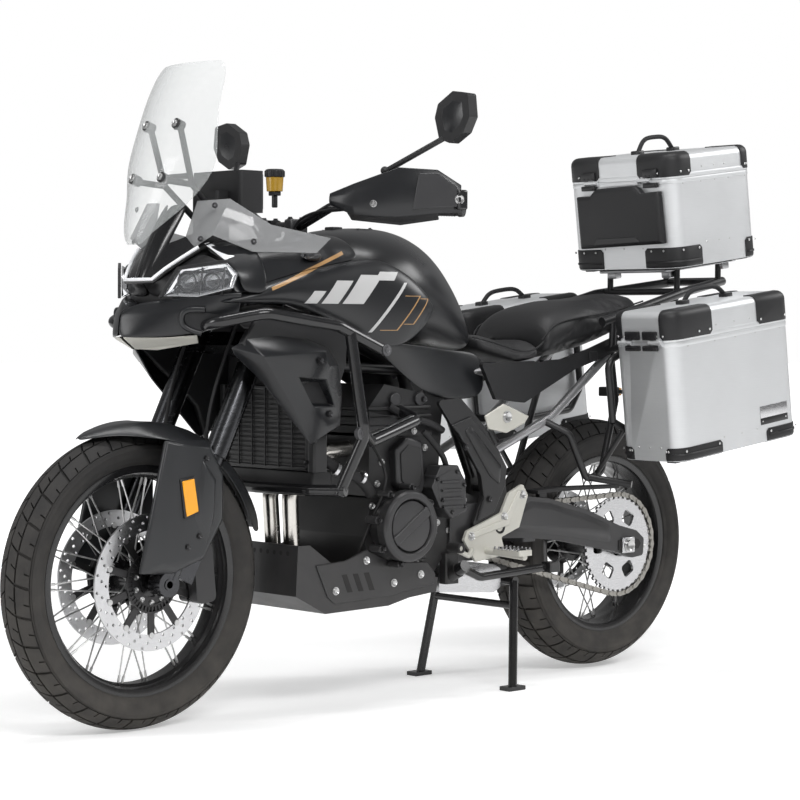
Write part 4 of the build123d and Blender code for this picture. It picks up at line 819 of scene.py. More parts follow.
def build_discs(name, axle, offsets, outer, band, arms, columns, body, ring_gear):
    steel, spider, studs = bmesh.new(), bmesh.new(), bmesh.new()
    for offset in offsets:
        drilled_ring(steel, axle, offset, outer, outer - band, 4.8, columns)
        out = 1 if offset > 0 else -1
        centre = axle * 1000
        lathe(
            spider, [(-2.4, 32), (-2.4, 66), (2.4, 66), (2.4, 32)], (centre.x, offset, centre.z), (0, 1, 0), 64,
            closed=True,
        )
        for k in range(arms):
            angle = 2 * pi * k / arms
            way = Vector((sin(angle), 0, cos(angle)))
            turn = Matrix.Rotation(angle, 4, "Y")
            add_block(
                spider, (centre.x - 8, offset - 2.4, centre.z + 60),
                (centre.x + 8, offset + 2.4, centre.z + outer - band + 3),
                turn, tuple(centre),
            )
            at = centre + way * (outer - band + 2) + Vector((0, offset, 0))
            add_drum(studs, tuple(at - Vector((0, 4, 0))), (0, 1, 0), 6.5, 8, 18)
            at = centre + way * 44 + Vector((0, offset, 0))
            add_bolt(studs, tuple(at + Vector((0, out * 2.3, 0))), (0, out, 0), 4.5, 4.5)
        if ring_gear:
            for k in range(SENSOR_TEETH):
                turn = Matrix.Rotation(2 * pi * k / SENSOR_TEETH, 4, "Y")
                add_block(
                    spider, (centre.x - 1.6, offset + out * 2.4, centre.z + 52),
                    (centre.x + 1.6, offset + out * 5.2, centre.z + 64), turn, tuple(centre),
                )
            low, high = sorted((out * 2.4, out * 5.2))
            for r in (64, 49):
                profile = [(low, r), (low, r + 4), (high, r + 4), (high, r)]
                lathe(spider, profile, (centre.x, offset, centre.z), (0, 1, 0), 64, closed=True)
    node = name.replace("_detail", "")
    make(name, steel, DISC, body, node, sharp=30)
    make(node + "_carrier", spider, BLACK_BOLT, body)
    make(node + "_studs", studs, BOLT_STEEL, body)


build_discs("front_discs_detail", FRONT_AXLE, (69, -69), 150, 36, 10, 24, "front_assembly", True)
build_discs("rear_disc_detail", REAR_AXLE, (-94,), 130, 34, 6, 20, "rear_assembly", False)

# ---------------------------------------------------------------- CAD forms with their edges dressed


def from_node(name):
    """The CAD piece's mesh with its flat faces whole again."""
    mesh = bmesh.new()
    mesh.from_mesh(NODES[name].data)
    bmesh.ops.remove_doubles(mesh, verts=mesh.verts, dist=2e-6)
    bmesh.ops.dissolve_limit(mesh, angle_limit=radians(0.8), verts=mesh.verts, edges=mesh.edges)
    return mesh


def dressed(name, material, bevel, segments):
    """The CAD piece again, with its edges rounded."""
    body = body_of(NODES[name])[0]
    made = make(name + "_body", from_node(name), material, body, name, bevel, sharp=32, segments=segments)
    made.modifiers["edges"].harden_normals = True


DRESSED = (                     # node, finish, edge radius, segments
    ("frame", POWDER_SATIN, 2.0, 2), ("swingarm", GREY_SATIN, 5.0, 3), ("engine", DARK_CAST, 3.0, 2),
    ("engine_covers", COVER_METAL, 4.0, 3), ("skid_plate", SKID_METAL, 2.5, 2), ("foot_controls", PALE_ALLOY, 1.6, 2),
    ("dash", BLACK_PLASTIC, 3.0, 2),
    ("tail_panels", BLACK_PLASTIC, 5.0, 3), ("rear_mudguard", BLACK_PLASTIC, 2.0, 2),
    ("chain_guard", BLACK_PLASTIC, 1.2, 2),
    ("front_calipers", CALIPER_METAL, 2.5, 2), ("rear_caliper", CALIPER_METAL, 2.5, 2),
    ("subframe", SILVER_PAINT, 1.5, 2), ("rack", POWDER_SATIN, 1.2, 2),
)
for entry in DRESSED:
    dressed(*entry)

# ---------------------------------------------------------------- front fender, fork guards and reflectors
FENDER_RINGS = (                # degrees ahead of the top of the tyre, half width, radius of the edge and of the crown
    (25, 10, 345, 349), (20, 34, 339, 350), (13, 54, 331, 350), (7, 74, 322, 350), (2, 100, 316, 350),
    (-3, 134, 310, 350), (-12, 141, 312, 350), (-20, 139, 314, 350), (-26, 98, 318, 350), (-34, 80, 314, 350),
    (-48, 76, 308, 349), (-62, 73, 304, 349), (-74, 68, 302, 348),
)
GUARD_EDGE = ((800, 640), (868, 357), (788, 350), (704, 377), (646, 462), (646, 568), (688, 640))
GUARD_FACE = ((770, 632), (822, 376), (786, 364), (712, 386), (662, 466), (662, 562), (696, 622))
GUARD_RIB_FOOT = ((676, 556), (716, 604), (742, 470), (708, 404), (680, 470))
GUARD_RIB_TOP = ((688, 546), (712, 580), (728, 474), (706, 426), (692, 474))
REFLECTOR = ((744, 558), (776, 553), (764, 476), (732, 486))


def fender_point(angle, radius, side):
    turned = radians(angle)
    return (FRONT_AXLE.x * 1000 + radius * sin(turned), side, FRONT_AXLE.z * 1000 + radius * cos(turned))


def build_fender():
    rows = []
    for share in (-1, -0.62, -0.3, 0, 0.3, 0.62, 1):
        row = []
        for angle, half, edge, crown in FENDER_RINGS:
            ridge = min(half * 0.62, 52) if abs(share) == 0.62 else half * abs(share)
            radius = edge if abs(share) == 1 else crown - (2.5 if abs(share) == 0.62 else 0)
            row.append(fender_point(angle, radius, (1 if share > 0 else -1) * ridge))
        rows.append(row)
    top = patch(rows, (0.1, 0, 1))
    crease(
        top, lambda e: abs(abs(e.verts[0].co.y) - abs(e.verts[1].co.y)) < 0.012 and 0.02 < abs(e.verts[0].co.y) < 0.056,
        0.75,
    )
    make("front_fender_top", top, GREY_PAINT, "steering", "front_fender", levels=2, wall=3.5, outward=False)
    guard = bmesh.new()
    for side in (1, -1):
        rings = [
            at_side(GUARD_EDGE, side * 121), at_side(GUARD_EDGE, side * 133),
            at_side(GUARD_FACE, side * 151),
        ]
        loft(guard, rings)
    make("fork_guards", guard, GREY_PAINT, "steering", bevel=4.0, sharp=50, segments=3)
    # the raised facet under the reflector
    ribs = bmesh.new()
    for side in (1, -1):
        loft(ribs, [at_side(GUARD_RIB_FOOT, side * 148), at_side(GUARD_RIB_TOP, side * 158)])
    make("fork_guard_ribs", ribs, GREY_PAINT, "steering", bevel=2.0, sharp=50)
    glass, frame_ = bmesh.new(), bmesh.new()
    for side in (1, -1):
        slab(glass, at_side(REFLECTOR, side * 152), (0, side * 6.5, 0))
        grown = [(x + (4 if x > 754 else -4), side * 150, z + (4 if z > 520 else -4)) for x, z in REFLECTOR]
        slab(frame_, grown, (0, side * 6, 0))
    make("fork_reflectors", glass, AMBER, "steering", bevel=1.6)
    make("fork_reflector_frames", frame_, FINE_PLASTIC, "steering", bevel=1.2)
    bolts(
        "fork_guard_bolts", ((726, 151, 432), (757, 151, 410), (706, 151, 600)), (0, 1, 0), 5.5, 4, BLACK_BOLT,
        "steering", True,
    )


build_fender()

# ---------------------------------------------------------------- nose: lamps and light strip


def build_lamps():
    """Clear covers with a bowl and two lenses behind each."""
    for side, word in SIDES:
        ahead = Vector((0.809, side * 0.588, 0))
        across = Vector((-0.588, side * 0.809, 0))

        def spot(along, z, push=0.0):
            p = Vector((771, side * 74, 0)) + across * along + ahead * push
            return (p.x, p.y, z)

        outline = ((0, 952), (42, 1012), (149, 1025), (174, 1000), (164, 970), (84, 950))
        glass = bmesh.new()
        slab(glass, [spot(a, z, -1) for a, z in outline], ahead * 3)
        make(f"headlamp_{word}_cover", glass, LAMP_GLASS, bevel=1.0)
        dividers = bmesh.new()
        for along in (34, 84, 134):
            slab(dividers, [spot(along + a, z, -12) for a, z in ((0, 955), (3, 955), (9, 1015), (6, 1015))], ahead * 6)
        for z in (968, 1000):
            slab(dividers, [spot(a, z + b, -20) for a, b in ((24, 0), (160, 6), (160, 8), (24, 2))], ahead * 5)
        make(f"headlamp_{word}_dividers", dividers, FINE_PLASTIC)
        bowl = bmesh.new()
        loft(bowl, [
            [spot(a * 0.97 + 2, z * 0.985 + 15, -3) for a, z in outline],
            [spot(a * 0.7 + 26, (z - 985) * 0.55 + 985, -30) for a, z in outline],
        ])
        bmesh.ops.recalc_face_normals(bowl, faces=bowl.faces)
        mouth = max(bowl.faces, key=lambda f: f.calc_center_median().dot(ahead))
        bmesh.ops.delete(bowl, geom=[mouth], context="FACES_ONLY")
        node = "headlamps" if side > 0 else ()
        make(f"headlamp_{word}_bowl", bowl, CHROME, stands_for=node, wall=1.5, outward=False)
        eyes, rings = bmesh.new(), bmesh.new()
        for along, radius in ((56, 17), (112, 15)):
            add_ball(eyes, spot(along, 984, -14), radius, rings=12)
            lathe(
                rings, ((-6, radius + 1), (4, radius + 5), (6, radius + 3), (0, radius)), spot(along, 984, -12), ahead,
                32, True,
            )
        make(f"headlamp_{word}_lenses", eyes, LAMP_GLASS)
        make(f"headlamp_{word}_rings", rings, FINE_PLASTIC)
        brow = bmesh.new()
        slab(
            brow, [spot(a, z, 0) for a, z in ((-6, 948), (38, 1016), (150, 1031), (152, 1024), (43, 1009), (4, 950))],
            ahead * 7,
        )
        make(f"headlamp_{word}_brow", brow, FINE_PLASTIC, bevel=1.2)


build_lamps()
STRIP = (
    (696, 110, 1060), (730, 88, 1034), (756, 68, 1012), (778, 50, 989), (780, 20, 989), (780, -20, 989),
    (778, -50, 989),
    (756, -68, 1012), (730, -88, 1034), (696, -110, 1060),
)
tube("running_light", STRIP, 4.0, WHITE_LIGHT, smooth=False)
tube("running_light_bed", [(x - 4, y * 0.99, z - 5) for x, y, z in STRIP], 5.0, FINE_PLASTIC, smooth=False)


# ---------------------------------------------------------------- windshield, its pads and bolts, and deflectors
SCREEN_SHAPE = (                # centre X, height, half width, sweep: a smooth line through the part's own sections
    (797, 1064, 26, 7), (799, 1090, 52, 18), (790, 1135, 98, 48), (776, 1172, 126, 64), (764, 1236, 168, 78),
    (740, 1300, 152, 62), (712, 1370, 140, 50), (694, 1410, 136, 46), (668, 1454, 128, 38), (652, 1474, 104, 26),
)


def build_screen():
    shares = (-1, -0.92, -0.6, -0.2, 0.2, 0.6, 0.92, 1)
    rows = []
    for x, z, half, sweep in SCREEN_SHAPE:
        rows.append([(x - sweep * share * share, half * share, z) for share in shares])
    make(
        "windshield_sheet", patch(rows, (1, 0, 0.2)), CLEAR, stands_for="windshield", levels=2, wall=3, outward=False
    )
    plates = bmesh.new()
    studs = []
    for side in (1, -1):
        for x, y, z in ((703, 54, 1325), (742, 52, 1206)):
            add_drum(plates, (x - 6, side * y, z), (1, 0, 0.35), 12, 22, 24)
            studs.append((x + 15, side * y, z + 7))
    make("windshield_pads", plates, FINE_PLASTIC, bevel=1.2)
    bolts("windshield_bolts", studs, (1, 0, 0.35), 6.5, 4, BOLT_STEEL)


def build_deflectors():
    leaves = (
        ((669, 70, 1163), (642, 152, 1166), (690, 152, 1085), (705, 52, 1040)),
        ((642, 152, 1166), (566, 202, 1110), (610, 192, 1050), (690, 152, 1085)),
        ((566, 202, 1110), (410, 222, 1084), (452, 222, 1050), (610, 192, 1050)),
    )
    for side, word in SIDES:
        top = [leaves[0][0], leaves[0][1], leaves[1][1], leaves[2][1]]
        low = [leaves[0][3], leaves[0][2], leaves[1][2], leaves[2][2]]
        rows = []
        for share in (0.0, 0.5, 1.0):
            rows.append([
                tuple(a + (b - a) * share for a, b in zip(first, second))
                for first, second in zip(to_side(top, side), to_side(low, side))
            ])
        mesh = patch(rows, (0.3, side, 0.3))
        node = "wind_deflectors" if side > 0 else ()
        make(f"wind_deflector_{word}", mesh, SMOKE, stands_for=node, wall=2.6, bevel=0.8, outward=False, sharp=20)
        bolts(
            f"wind_deflector_{word}_bolts", [(700, side * 122, 1077), (676, side * 142, 1150), (606, side * 190, 1072)],
            (0.55, side * 0.8, 0.2), 5.0, 4, BLACK_BOLT,
        )


build_screen()
build_deflectors()

# ---------------------------------------------------------------- nose shell: beak, brows, cheeks, spine and pale chin
BEAK_ROWS = (                   # lower edge, crease and upper edge, from the tip back
    ((834, 0, 862), (824, 41, 861), (772, 92, 862), (716, 132, 870), (640, 178, 888)),
    ((833, 0, 884), (812, 54, 888), (770, 96, 894), (718, 138, 902), (644, 192, 914)),
    ((831, 0, 908), (796, 66, 913), (760, 104, 922), (714, 146, 932), (646, 200, 940)),
    ((824, 0, 922), (798, 34, 939), (760, 88, 945), (712, 144, 952), (648, 208, 964)),
    ((770, 0, 938), (764, 30, 944), (742, 84, 948), (700, 138, 954), (640, 196, 966)),
)
CHEEK_ROWS = (
    ((694, 108, 1062), (644, 150, 1074), (596, 168, 1078)),
    ((676, 150, 1040), (640, 184, 1044), (592, 196, 1046)),
    ((660, 206, 1010), (630, 216, 1006), (590, 220, 1002)),
    ((654, 208, 960), (626, 218, 958), (592, 222, 956)),
)
BROW_ROWS = (                   # from under the light strip down to the lamp's rim
    ((772, 0, 982), (770, 50, 980), (746, 66, 1002), (722, 88, 1024), (690, 112, 1052)),
    ((756, 0, 972), (756, 54, 970), (742, 80, 990), (716, 112, 1014), (684, 150, 1036)),
    ((748, 0, 950), (750, 66, 950), (746, 98, 978), (722, 130, 1010), (680, 190, 1024)),
)
COWL_ROWS = (                   # from the light strip up to the instruments
    ((778, 0, 992), (776, 50, 992), (752, 68, 1014), (728, 90, 1036), (692, 112, 1062), (640, 150, 1080)),
    ((762, 0, 1020), (750, 40, 1026), (730, 58, 1042), (710, 78, 1058), (680, 98, 1078), (630, 120, 1096)),
    ((738, 0, 1066), (726, 28, 1070), (706, 46, 1078), (690, 60, 1088), (664, 76, 1100), (620, 90, 1108)),
)
SPINE_ROWS = (
    ((782, 0, 988), (768, 0, 1022), (744, 0, 1074), (716, 0, 1124), (690, 0, 1160)),
    ((778, 22, 990), (764, 24, 1022), (740, 28, 1070), (712, 30, 1120), (684, 30, 1158)),
    ((756, 30, 990), (744, 32, 1020), (722, 36, 1064), (694, 38, 1112), (664, 36, 1154)),
)

CHIN_RINGS = (
    ((824, 6, 863), (814, 42, 862), (768, 90, 862), (714, 128, 868), (690, 100, 860), (760, 40, 846), (800, 6, 846)),
    ((820, 6, 858), (806, 40, 856), (762, 84, 854), (706, 118, 858), (684, 94, 850), (752, 36, 834), (790, 6, 836)),
)
MOUTH = ((742, 128, 918), (712, 160, 916), (690, 182, 912), (692, 176, 884), (718, 146, 878), (742, 124, 886))
MOUTH_LIP = ((716, 160, 922), (744, 128, 926), (752, 118, 904), (742, 122, 880), (714, 144, 872))


def build_nose():
    for label, rows_, finish, thick in (
        ("beak", BEAK_ROWS, SATIN_PAINT, 4), ("cheek", CHEEK_ROWS, SATIN_PAINT, 5),
        ("brow", BROW_ROWS, FINE_PLASTIC, 3), ("cowl", COWL_ROWS, POWDER_GLOSS, 3),
        ("spine", SPINE_ROWS, POWDER_GLOSS, 4),
    ):
        for side, word in SIDES:
            rows = [to_side(row, side) for row in rows_]
            mesh = patch(rows, (1, side * 0.4, 0.1))
            if label == "beak":
                for line in (2, 3):
                    spots = [point(*p) for p in rows[line]]
                    near = lambda v: any((v.co - s).length < 1e-5 for s in spots)
                    crease(mesh, lambda e: near(e.verts[0]) and near(e.verts[1]), 0.8)
            node = "nose_fairing" if label == "beak" and side > 0 else ()
            make(f"nose_{word}_{label}", mesh, finish, stands_for=node, levels=2, wall=thick, outward=False)
    inner = bmesh.new()
    loft(inner, [ring_of(x, levels) for x, *levels in (
        (598, (176, 896), (196, 1000), (136, 1074)), (660, (156, 884), (184, 985), (100, 1062)),
        (716, (112, 872), (118, 960), (64, 1030)), (744, (84, 868), (84, 940), (44, 1000)),
    )])
    keep_side(inner, point(*steering_spot(130, 700)), STEER_AHEAD)      # room for the fork, at full lock too
    bmesh.ops.holes_fill(inner, edges=[e for e in inner.edges if e.is_boundary])
    make("nose_liner", inner, BLACK_PLASTIC, bevel=3)
    chin = bmesh.new()
    for side in (1, -1):
        loft(chin, [to_side(ring, side) for ring in CHIN_RINGS])
    make("chin_panel", chin, PALE_ALLOY, bevel=2)
    for side, word in SIDES:
        tube(f"mouth_{word}_lip", to_side(MOUTH_LIP, side), 6.5, SATIN_PAINT)
        pocket = bmesh.new()
        loft(pocket, [to_side(MOUTH, side), [(x - 22, side * (y - 26), z) for x, y, z in MOUTH]])
        make(f"mouth_{word}_pocket", pocket, SOFT_RUBBER)
    window = bmesh.new()
    for side in (1, -1):
        slab(
            window, to_side(((680, 110, 1066), (672, 116, 1069), (646, 174, 1038), (668, 168, 1030)), side),
            (2, side * 2, 2),
        )
    make("nose_side_lights", window, WHITE_LIGHT, bevel=0.6)


# ---------------------------------------------------------------- tank, side covers and their generic graphics
TANK_ROWS = (                   # X, then half width and height of the lower edge, waist, shoulder and top
    (336, (150, 905), (186, 960), (170, 1020), (96, 1062)),
    (300, (158, 890), (206, 960), (184, 1040), (102, 1096)),
    (255, (165, 868), (216, 960), (198, 1056), (106, 1116)),
    (150, (160, 850), (232, 950), (194, 1068), (72, 1124)),
    (60, (138, 842), (210, 936), (156, 1060), (54, 1120)),
    (-40, (118, 832), (154, 915), (104, 1028), (40, 1084)),
    (-120, (98, 826), (104, 880), (68, 968), (30, 1022)),
    (-190, (70, 824), (68, 850), (48, 892), (22, 928)),
)


def block_group():
    """A slanted block in any two axes: 1 inside it, 0 outside."""
    names = ("Along", "Across", "From", "To", "Low", "High", "Lean")
    tree, given, result = new_group("slanted block", [(n, FLOAT, 0.0) for n in names], [("Mask", FLOAT)])
    value = given.outputs
    over_low = math_node(tree, "SUBTRACT", value["Across"], value["Low"])
    straight = math_node(tree, "ADD", value["Along"], math_node(tree, "MULTIPLY", over_low, value["Lean"]))
    mask = math_node(tree, "GREATER_THAN", straight, value["From"])
    for operation, first, second in (
        ("LESS_THAN", straight, value["To"]), ("GREATER_THAN", over_low, 0.0),
        ("LESS_THAN", value["Across"], value["High"]),
    ):
        mask = math_node(tree, "MULTIPLY", mask, math_node(tree, operation, first, second))
    tree.links.new(mask, result.inputs["Mask"])
    return tree


SLANTED_BLOCK = block_group()
SILVER_BLOCKS = (               # from, to, low, high, lean, in metres along X and Z
    (0.452, 0.486, 0.938, 0.966, 0.9), (0.392, 0.440, 0.938, 0.990, 0.9), (0.318, 0.380, 0.938, 1.004, 0.9),
    (0.288, 0.298, 0.874, 0.988, 0.9), (0.226, 0.282, 0.992, 1.012, 0.9),
)
GOLD_FRAMES = (
    (0.218, 0.268, 0.878, 0.958, 0.9), (0.170, 0.202, 0.892, 0.952, 0.9),
)
GOLD_LINE = 0.0016


def graphic_paint():
    """The satin black paint with silver blocks, thin gold frames and one gold stripe on the sides."""
    material, tree, shader = new_material("satin black paint with blocks", Specular_IOR_Level=0.42)
    look = use(
        tree, GRAIN, Grain_Scale=2600.0, Cloud_Scale=6.0, Colour=(0.0095, 0.010, 0.0115, 1), Colour_Spread=0.12,
        Roughness=0.30, Roughness_Spread=0.15,
    )
    where = object_place(tree)
    part = put(tree, "ShaderNodeSeparateXYZ", None, Vector=where)
    x, y, z = part.outputs
    aside = math_node(tree, "GREATER_THAN", math_node(tree, "ABSOLUTE", y), 0.12)

    def block(first, second, start, end, low, high, lean):
        made = use(tree, SLANTED_BLOCK, Along=first, Across=second, From=start, To=end, Low=low, High=high, Lean=lean)
        return made.outputs["Mask"]

    silver = 0.0
    for spec in SILVER_BLOCKS:
        silver = math_node(tree, "MAXIMUM", silver, block(x, z, *spec))
    gold = block(z, x, 1.050, 1.0575, 0.345, 0.575, 0.37)
    for start, end, low, high, lean in GOLD_FRAMES:
        outer = block(x, z, start, end, low, high, lean)
        shift = GOLD_LINE * lean
        inner = block(
            x, z, start + GOLD_LINE + shift, end - GOLD_LINE + shift, low + GOLD_LINE, high - GOLD_LINE, lean
        )
        gold = math_node(tree, "MAXIMUM", gold, math_node(tree, "SUBTRACT", outer, inner))
    silver = math_node(tree, "MULTIPLY", silver, aside)
    gold = math_node(tree, "MULTIPLY", gold, aside)
    colour = mix_colour(tree, silver, look.outputs["Colour"], (0.50, 0.50, 0.50, 1))
    colour = mix_colour(tree, gold, colour, (0.36, 0.21, 0.09, 1))
    dress(tree, shader, colour, look.outputs["Roughness"], look.outputs["Height"], 0.04, dust=0.03)
    return material


GRAPHIC_PAINT = graphic_paint()
SLOT_OF[GRAPHIC_PAINT] = "bodywork"


def ring_of(x, levels):
    left = [(x, half, z) for half, z in levels]
    return left + [(x, -half, z) for half, z in reversed(levels)]


def build_tank():
    body = bmesh.new()
    loft(body, [ring_of(x, levels) for x, *levels in TANK_ROWS])
    make("fuel_tank_shell", body, GRAPHIC_PAINT, stands_for="fuel_tank", levels=3)
    # filler: a raised ring, a lid with its hinge, and six bolts
    ring, lid = bmesh.new(), bmesh.new()
    tilt = Vector((0.06, 0, 1))
    lathe(ring, ((-8, 66), (5, 64), (8, 60), (8, 50), (3, 47), (-8, 47)), (170, 0, 1108), tilt, 48, True)
    lathe(lid, ((0, 0.1), (4, 0.1), (5, 34), (2, 45), (-4, 45), (-4, 0.1)), (170, 0, 1112), tilt, 48, True)
    make("filler_ring", ring, POWDER_SATIN, bevel=0.8)
    make("filler_lid", lid, POWDER_GLOSS, bevel=0.6)
    hinge = bmesh.new()
    add_block(hinge, (196, -16, 1108), (226, 16, 1121))
    make("filler_hinge", hinge, POWDER_SATIN, bevel=2.5)
    spots = [
        (170 + 55 * cos(k * pi / 3 + 0.3), 55 * sin(k * pi / 3 + 0.3), 1115 - 3.3 * cos(k * pi / 3 + 0.3))
        for k in range(6)
    ]
    bolts("filler_bolts", spots, tilt, 3.2, 3, BLACK_BOLT)


build_tank()
COVER_COLUMNS = (               # X, height of the top and the lower edge, half width over the bulge
    (688, 942, 937, 190), (640, 962, 935, 208), (596, 978, 934, 220), (510, 1003, 936, 226), (436, 1020, 911, 228),
    (364, 1033, 890, 229), (300, 1043, 860, 230), (250, 1042, 838, 235), (196, 1022, 840, 240), (146, 996, 868, 240),
    (110, 968, 896, 232), (92, 944, 916, 222),
)


def build_covers():
    """The long covers from the nose over the tank's flanks, and the shoulders above them."""
    for side, word in SIDES:
        rows = [[], [], [], [], []]
        for x, top, low, half in COVER_COLUMNS:
            for row, (share, inward) in zip(rows, ((1, 26), (0.86, 8), (0.5, 0), (0.14, 5), (0, 16))):
                row.append((x, side * (half - inward), low + (top - low) * share))
        make(f"tank_{word}_cover", patch(rows, (0, side, 0)), GRAPHIC_PAINT, levels=2, wall=5, outward=False)
        columns = ((664, 950, 1030, 128), (600, 976, 1066, 142), (510, 1001, 1078, 132), (436, 1018, 1086, 122),
                   (364, 1031, 1094, 112), (306, 1041, 1100, 104))
        rows = [[], [], [], []]
        for x, low, high, inner in columns:
            outer = 200
            for row, (share, y) in zip(rows, (
                (0, outer), (0.34, outer - 14), (0.72, (outer + inner) / 2 + 6), (1, inner),
            )):
                row.append((x, side * y, low + (high - low) * share))
        make(f"tank_{word}_shoulder", patch(rows, (0, side, 1)), GRAPHIC_PAINT, levels=2, wall=4, outward=False)


build_covers()
WING_ROOF = (                   # distance from the middle, then X and Z along the roof's outer lines
    (186, ((652, 902), (612, 934), (520, 934), (430, 918), (345, 894))),
    (204, ((648, 878), (606, 880), (520, 876), (433, 874), (343, 866))),
)
WING_CORNERS = (                # of the left wing: X, Y and Z
    (660, 180, 840), (618, 240, 822), (440, 238, 831), (640, 206, 860), (560, 204, 869), (470, 206, 860),
    (404, 208, 838), (652, 178, 826), (590, 204, 762), (520, 202, 690), (454, 204, 624), (600, 236, 800),
    (520, 222, 708), (428, 236, 798), (512, 233, 776), (430, 230, 768), (462, 226, 708), (398, 222, 708),
    (372, 210, 664), (380, 214, 800), (362, 206, 740), (500, 208, 766), (434, 204, 762), (468, 204, 718),
    (406, 200, 716),
)
WING_FACES = (                  # top, front, flank, pocket, then the back edge
    (0, 1, 3), (3, 1, 4), (4, 1, 2, 5), (5, 2, 6), (0, 7, 11, 1), (7, 8, 11), (8, 9, 12, 11), (9, 10, 12),
    (1, 13, 2), (1, 14, 13), (1, 11, 14), (11, 12, 16, 14), (12, 10, 16), (10, 18, 17, 16), (13, 14, 15),
    (14, 21, 22, 15), (15, 22, 24, 17), (17, 24, 23, 16), (16, 23, 21, 14), (21, 23, 24, 22),
    (2, 13, 19, 6), (13, 15, 19), (15, 17, 20, 19), (17, 18, 20),
)


def build_wings():
    """Each side's faceted wing with its pocket, dark back, roof and bolts, and the knee panel behind it."""
    for side, word in SIDES:
        roof = [[(x, side * 150, z + 4) for x, z in WING_ROOF[0][1]]]
        roof += [at_side(line, side * y) for y, line in WING_ROOF]
        make(f"radiator_{word}_roof", patch(roof, (0, side, 0.2)), BLACK_PLASTIC, levels=1, wall=4, outward=False)
        panel = bmesh.new()
        corners = [panel.verts.new(point(x, side * y, z)) for x, y, z in WING_CORNERS]
        for face in WING_FACES:
            panel.faces.new([corners[i] for i in (face if side > 0 else reversed(face))])
        bmesh.ops.recalc_face_normals(panel, faces=panel.faces)
        if sum(f.normal.y * f.calc_area() for f in panel.faces) * side < 0:
            bmesh.ops.reverse_faces(panel, faces=panel.faces)
        node = "side_fairings" if side > 0 else ()
        make(
            f"radiator_{word}_wing", panel, SATIN_PAINT, stands_for=node, bevel=2.4, wall=5, outward=False, sharp=60
        )
        inner = plate_piece(
            (
                (650, 850), (520, 745), (470, 700), (440, 622), (392, 700), (350, 800), (345, 880), (430, 910),
                (600, 920),
            ),
            188, 206, side,
        )
        make(f"radiator_{word}_wing_back", inner, BLACK_PLASTIC, bevel=4)
        bolts(f"radiator_{word}_bolts", ((456, side * 239, 811), (412, side * 219, 692)), (0, side, 0), 6.5, 5)
        knee = (
            ((206, 156, 852), (104, 146, 848), (0, 124, 840), (-100, 100, 832), (-196, 84, 826)),
            ((196, 150, 832), (106, 142, 812), (10, 126, 780), (-96, 108, 768), (-196, 98, 772)),
            ((186, 138, 822), (112, 132, 776), (22, 122, 720), (-90, 112, 706), (-190, 106, 716)),
        )
        rows = [to_side(row, side) for row in knee]
        make(f"knee_{word}_panel", patch(rows, (0, side, 0)), SATIN_PAINT, levels=2, wall=4, outward=False)


build_wings()
crash_caps = bmesh.new()
for side in (1, -1):
    add_drum(crash_caps, (297, side * 272, 834), (0, side, 0), 13, 13, 28)
    add_bolt(crash_caps, (297, side * 284, 834), (0, side, 0), 7, 4)
    add_drum(crash_caps, (382, side * 286, 650), (0, side, 0), 15, 12, 28)
    add_bolt(crash_caps, (382, side * 298, 650), (0, side, 0), 7, 4)
make("crash_bar_caps", crash_caps, GREY_CAST, bevel=1.5)
build_nose()

# ---------------------------------------------------------------- engine, radiator, frame plates and skid plate
ROUND_COVER = (147, 203, 424)


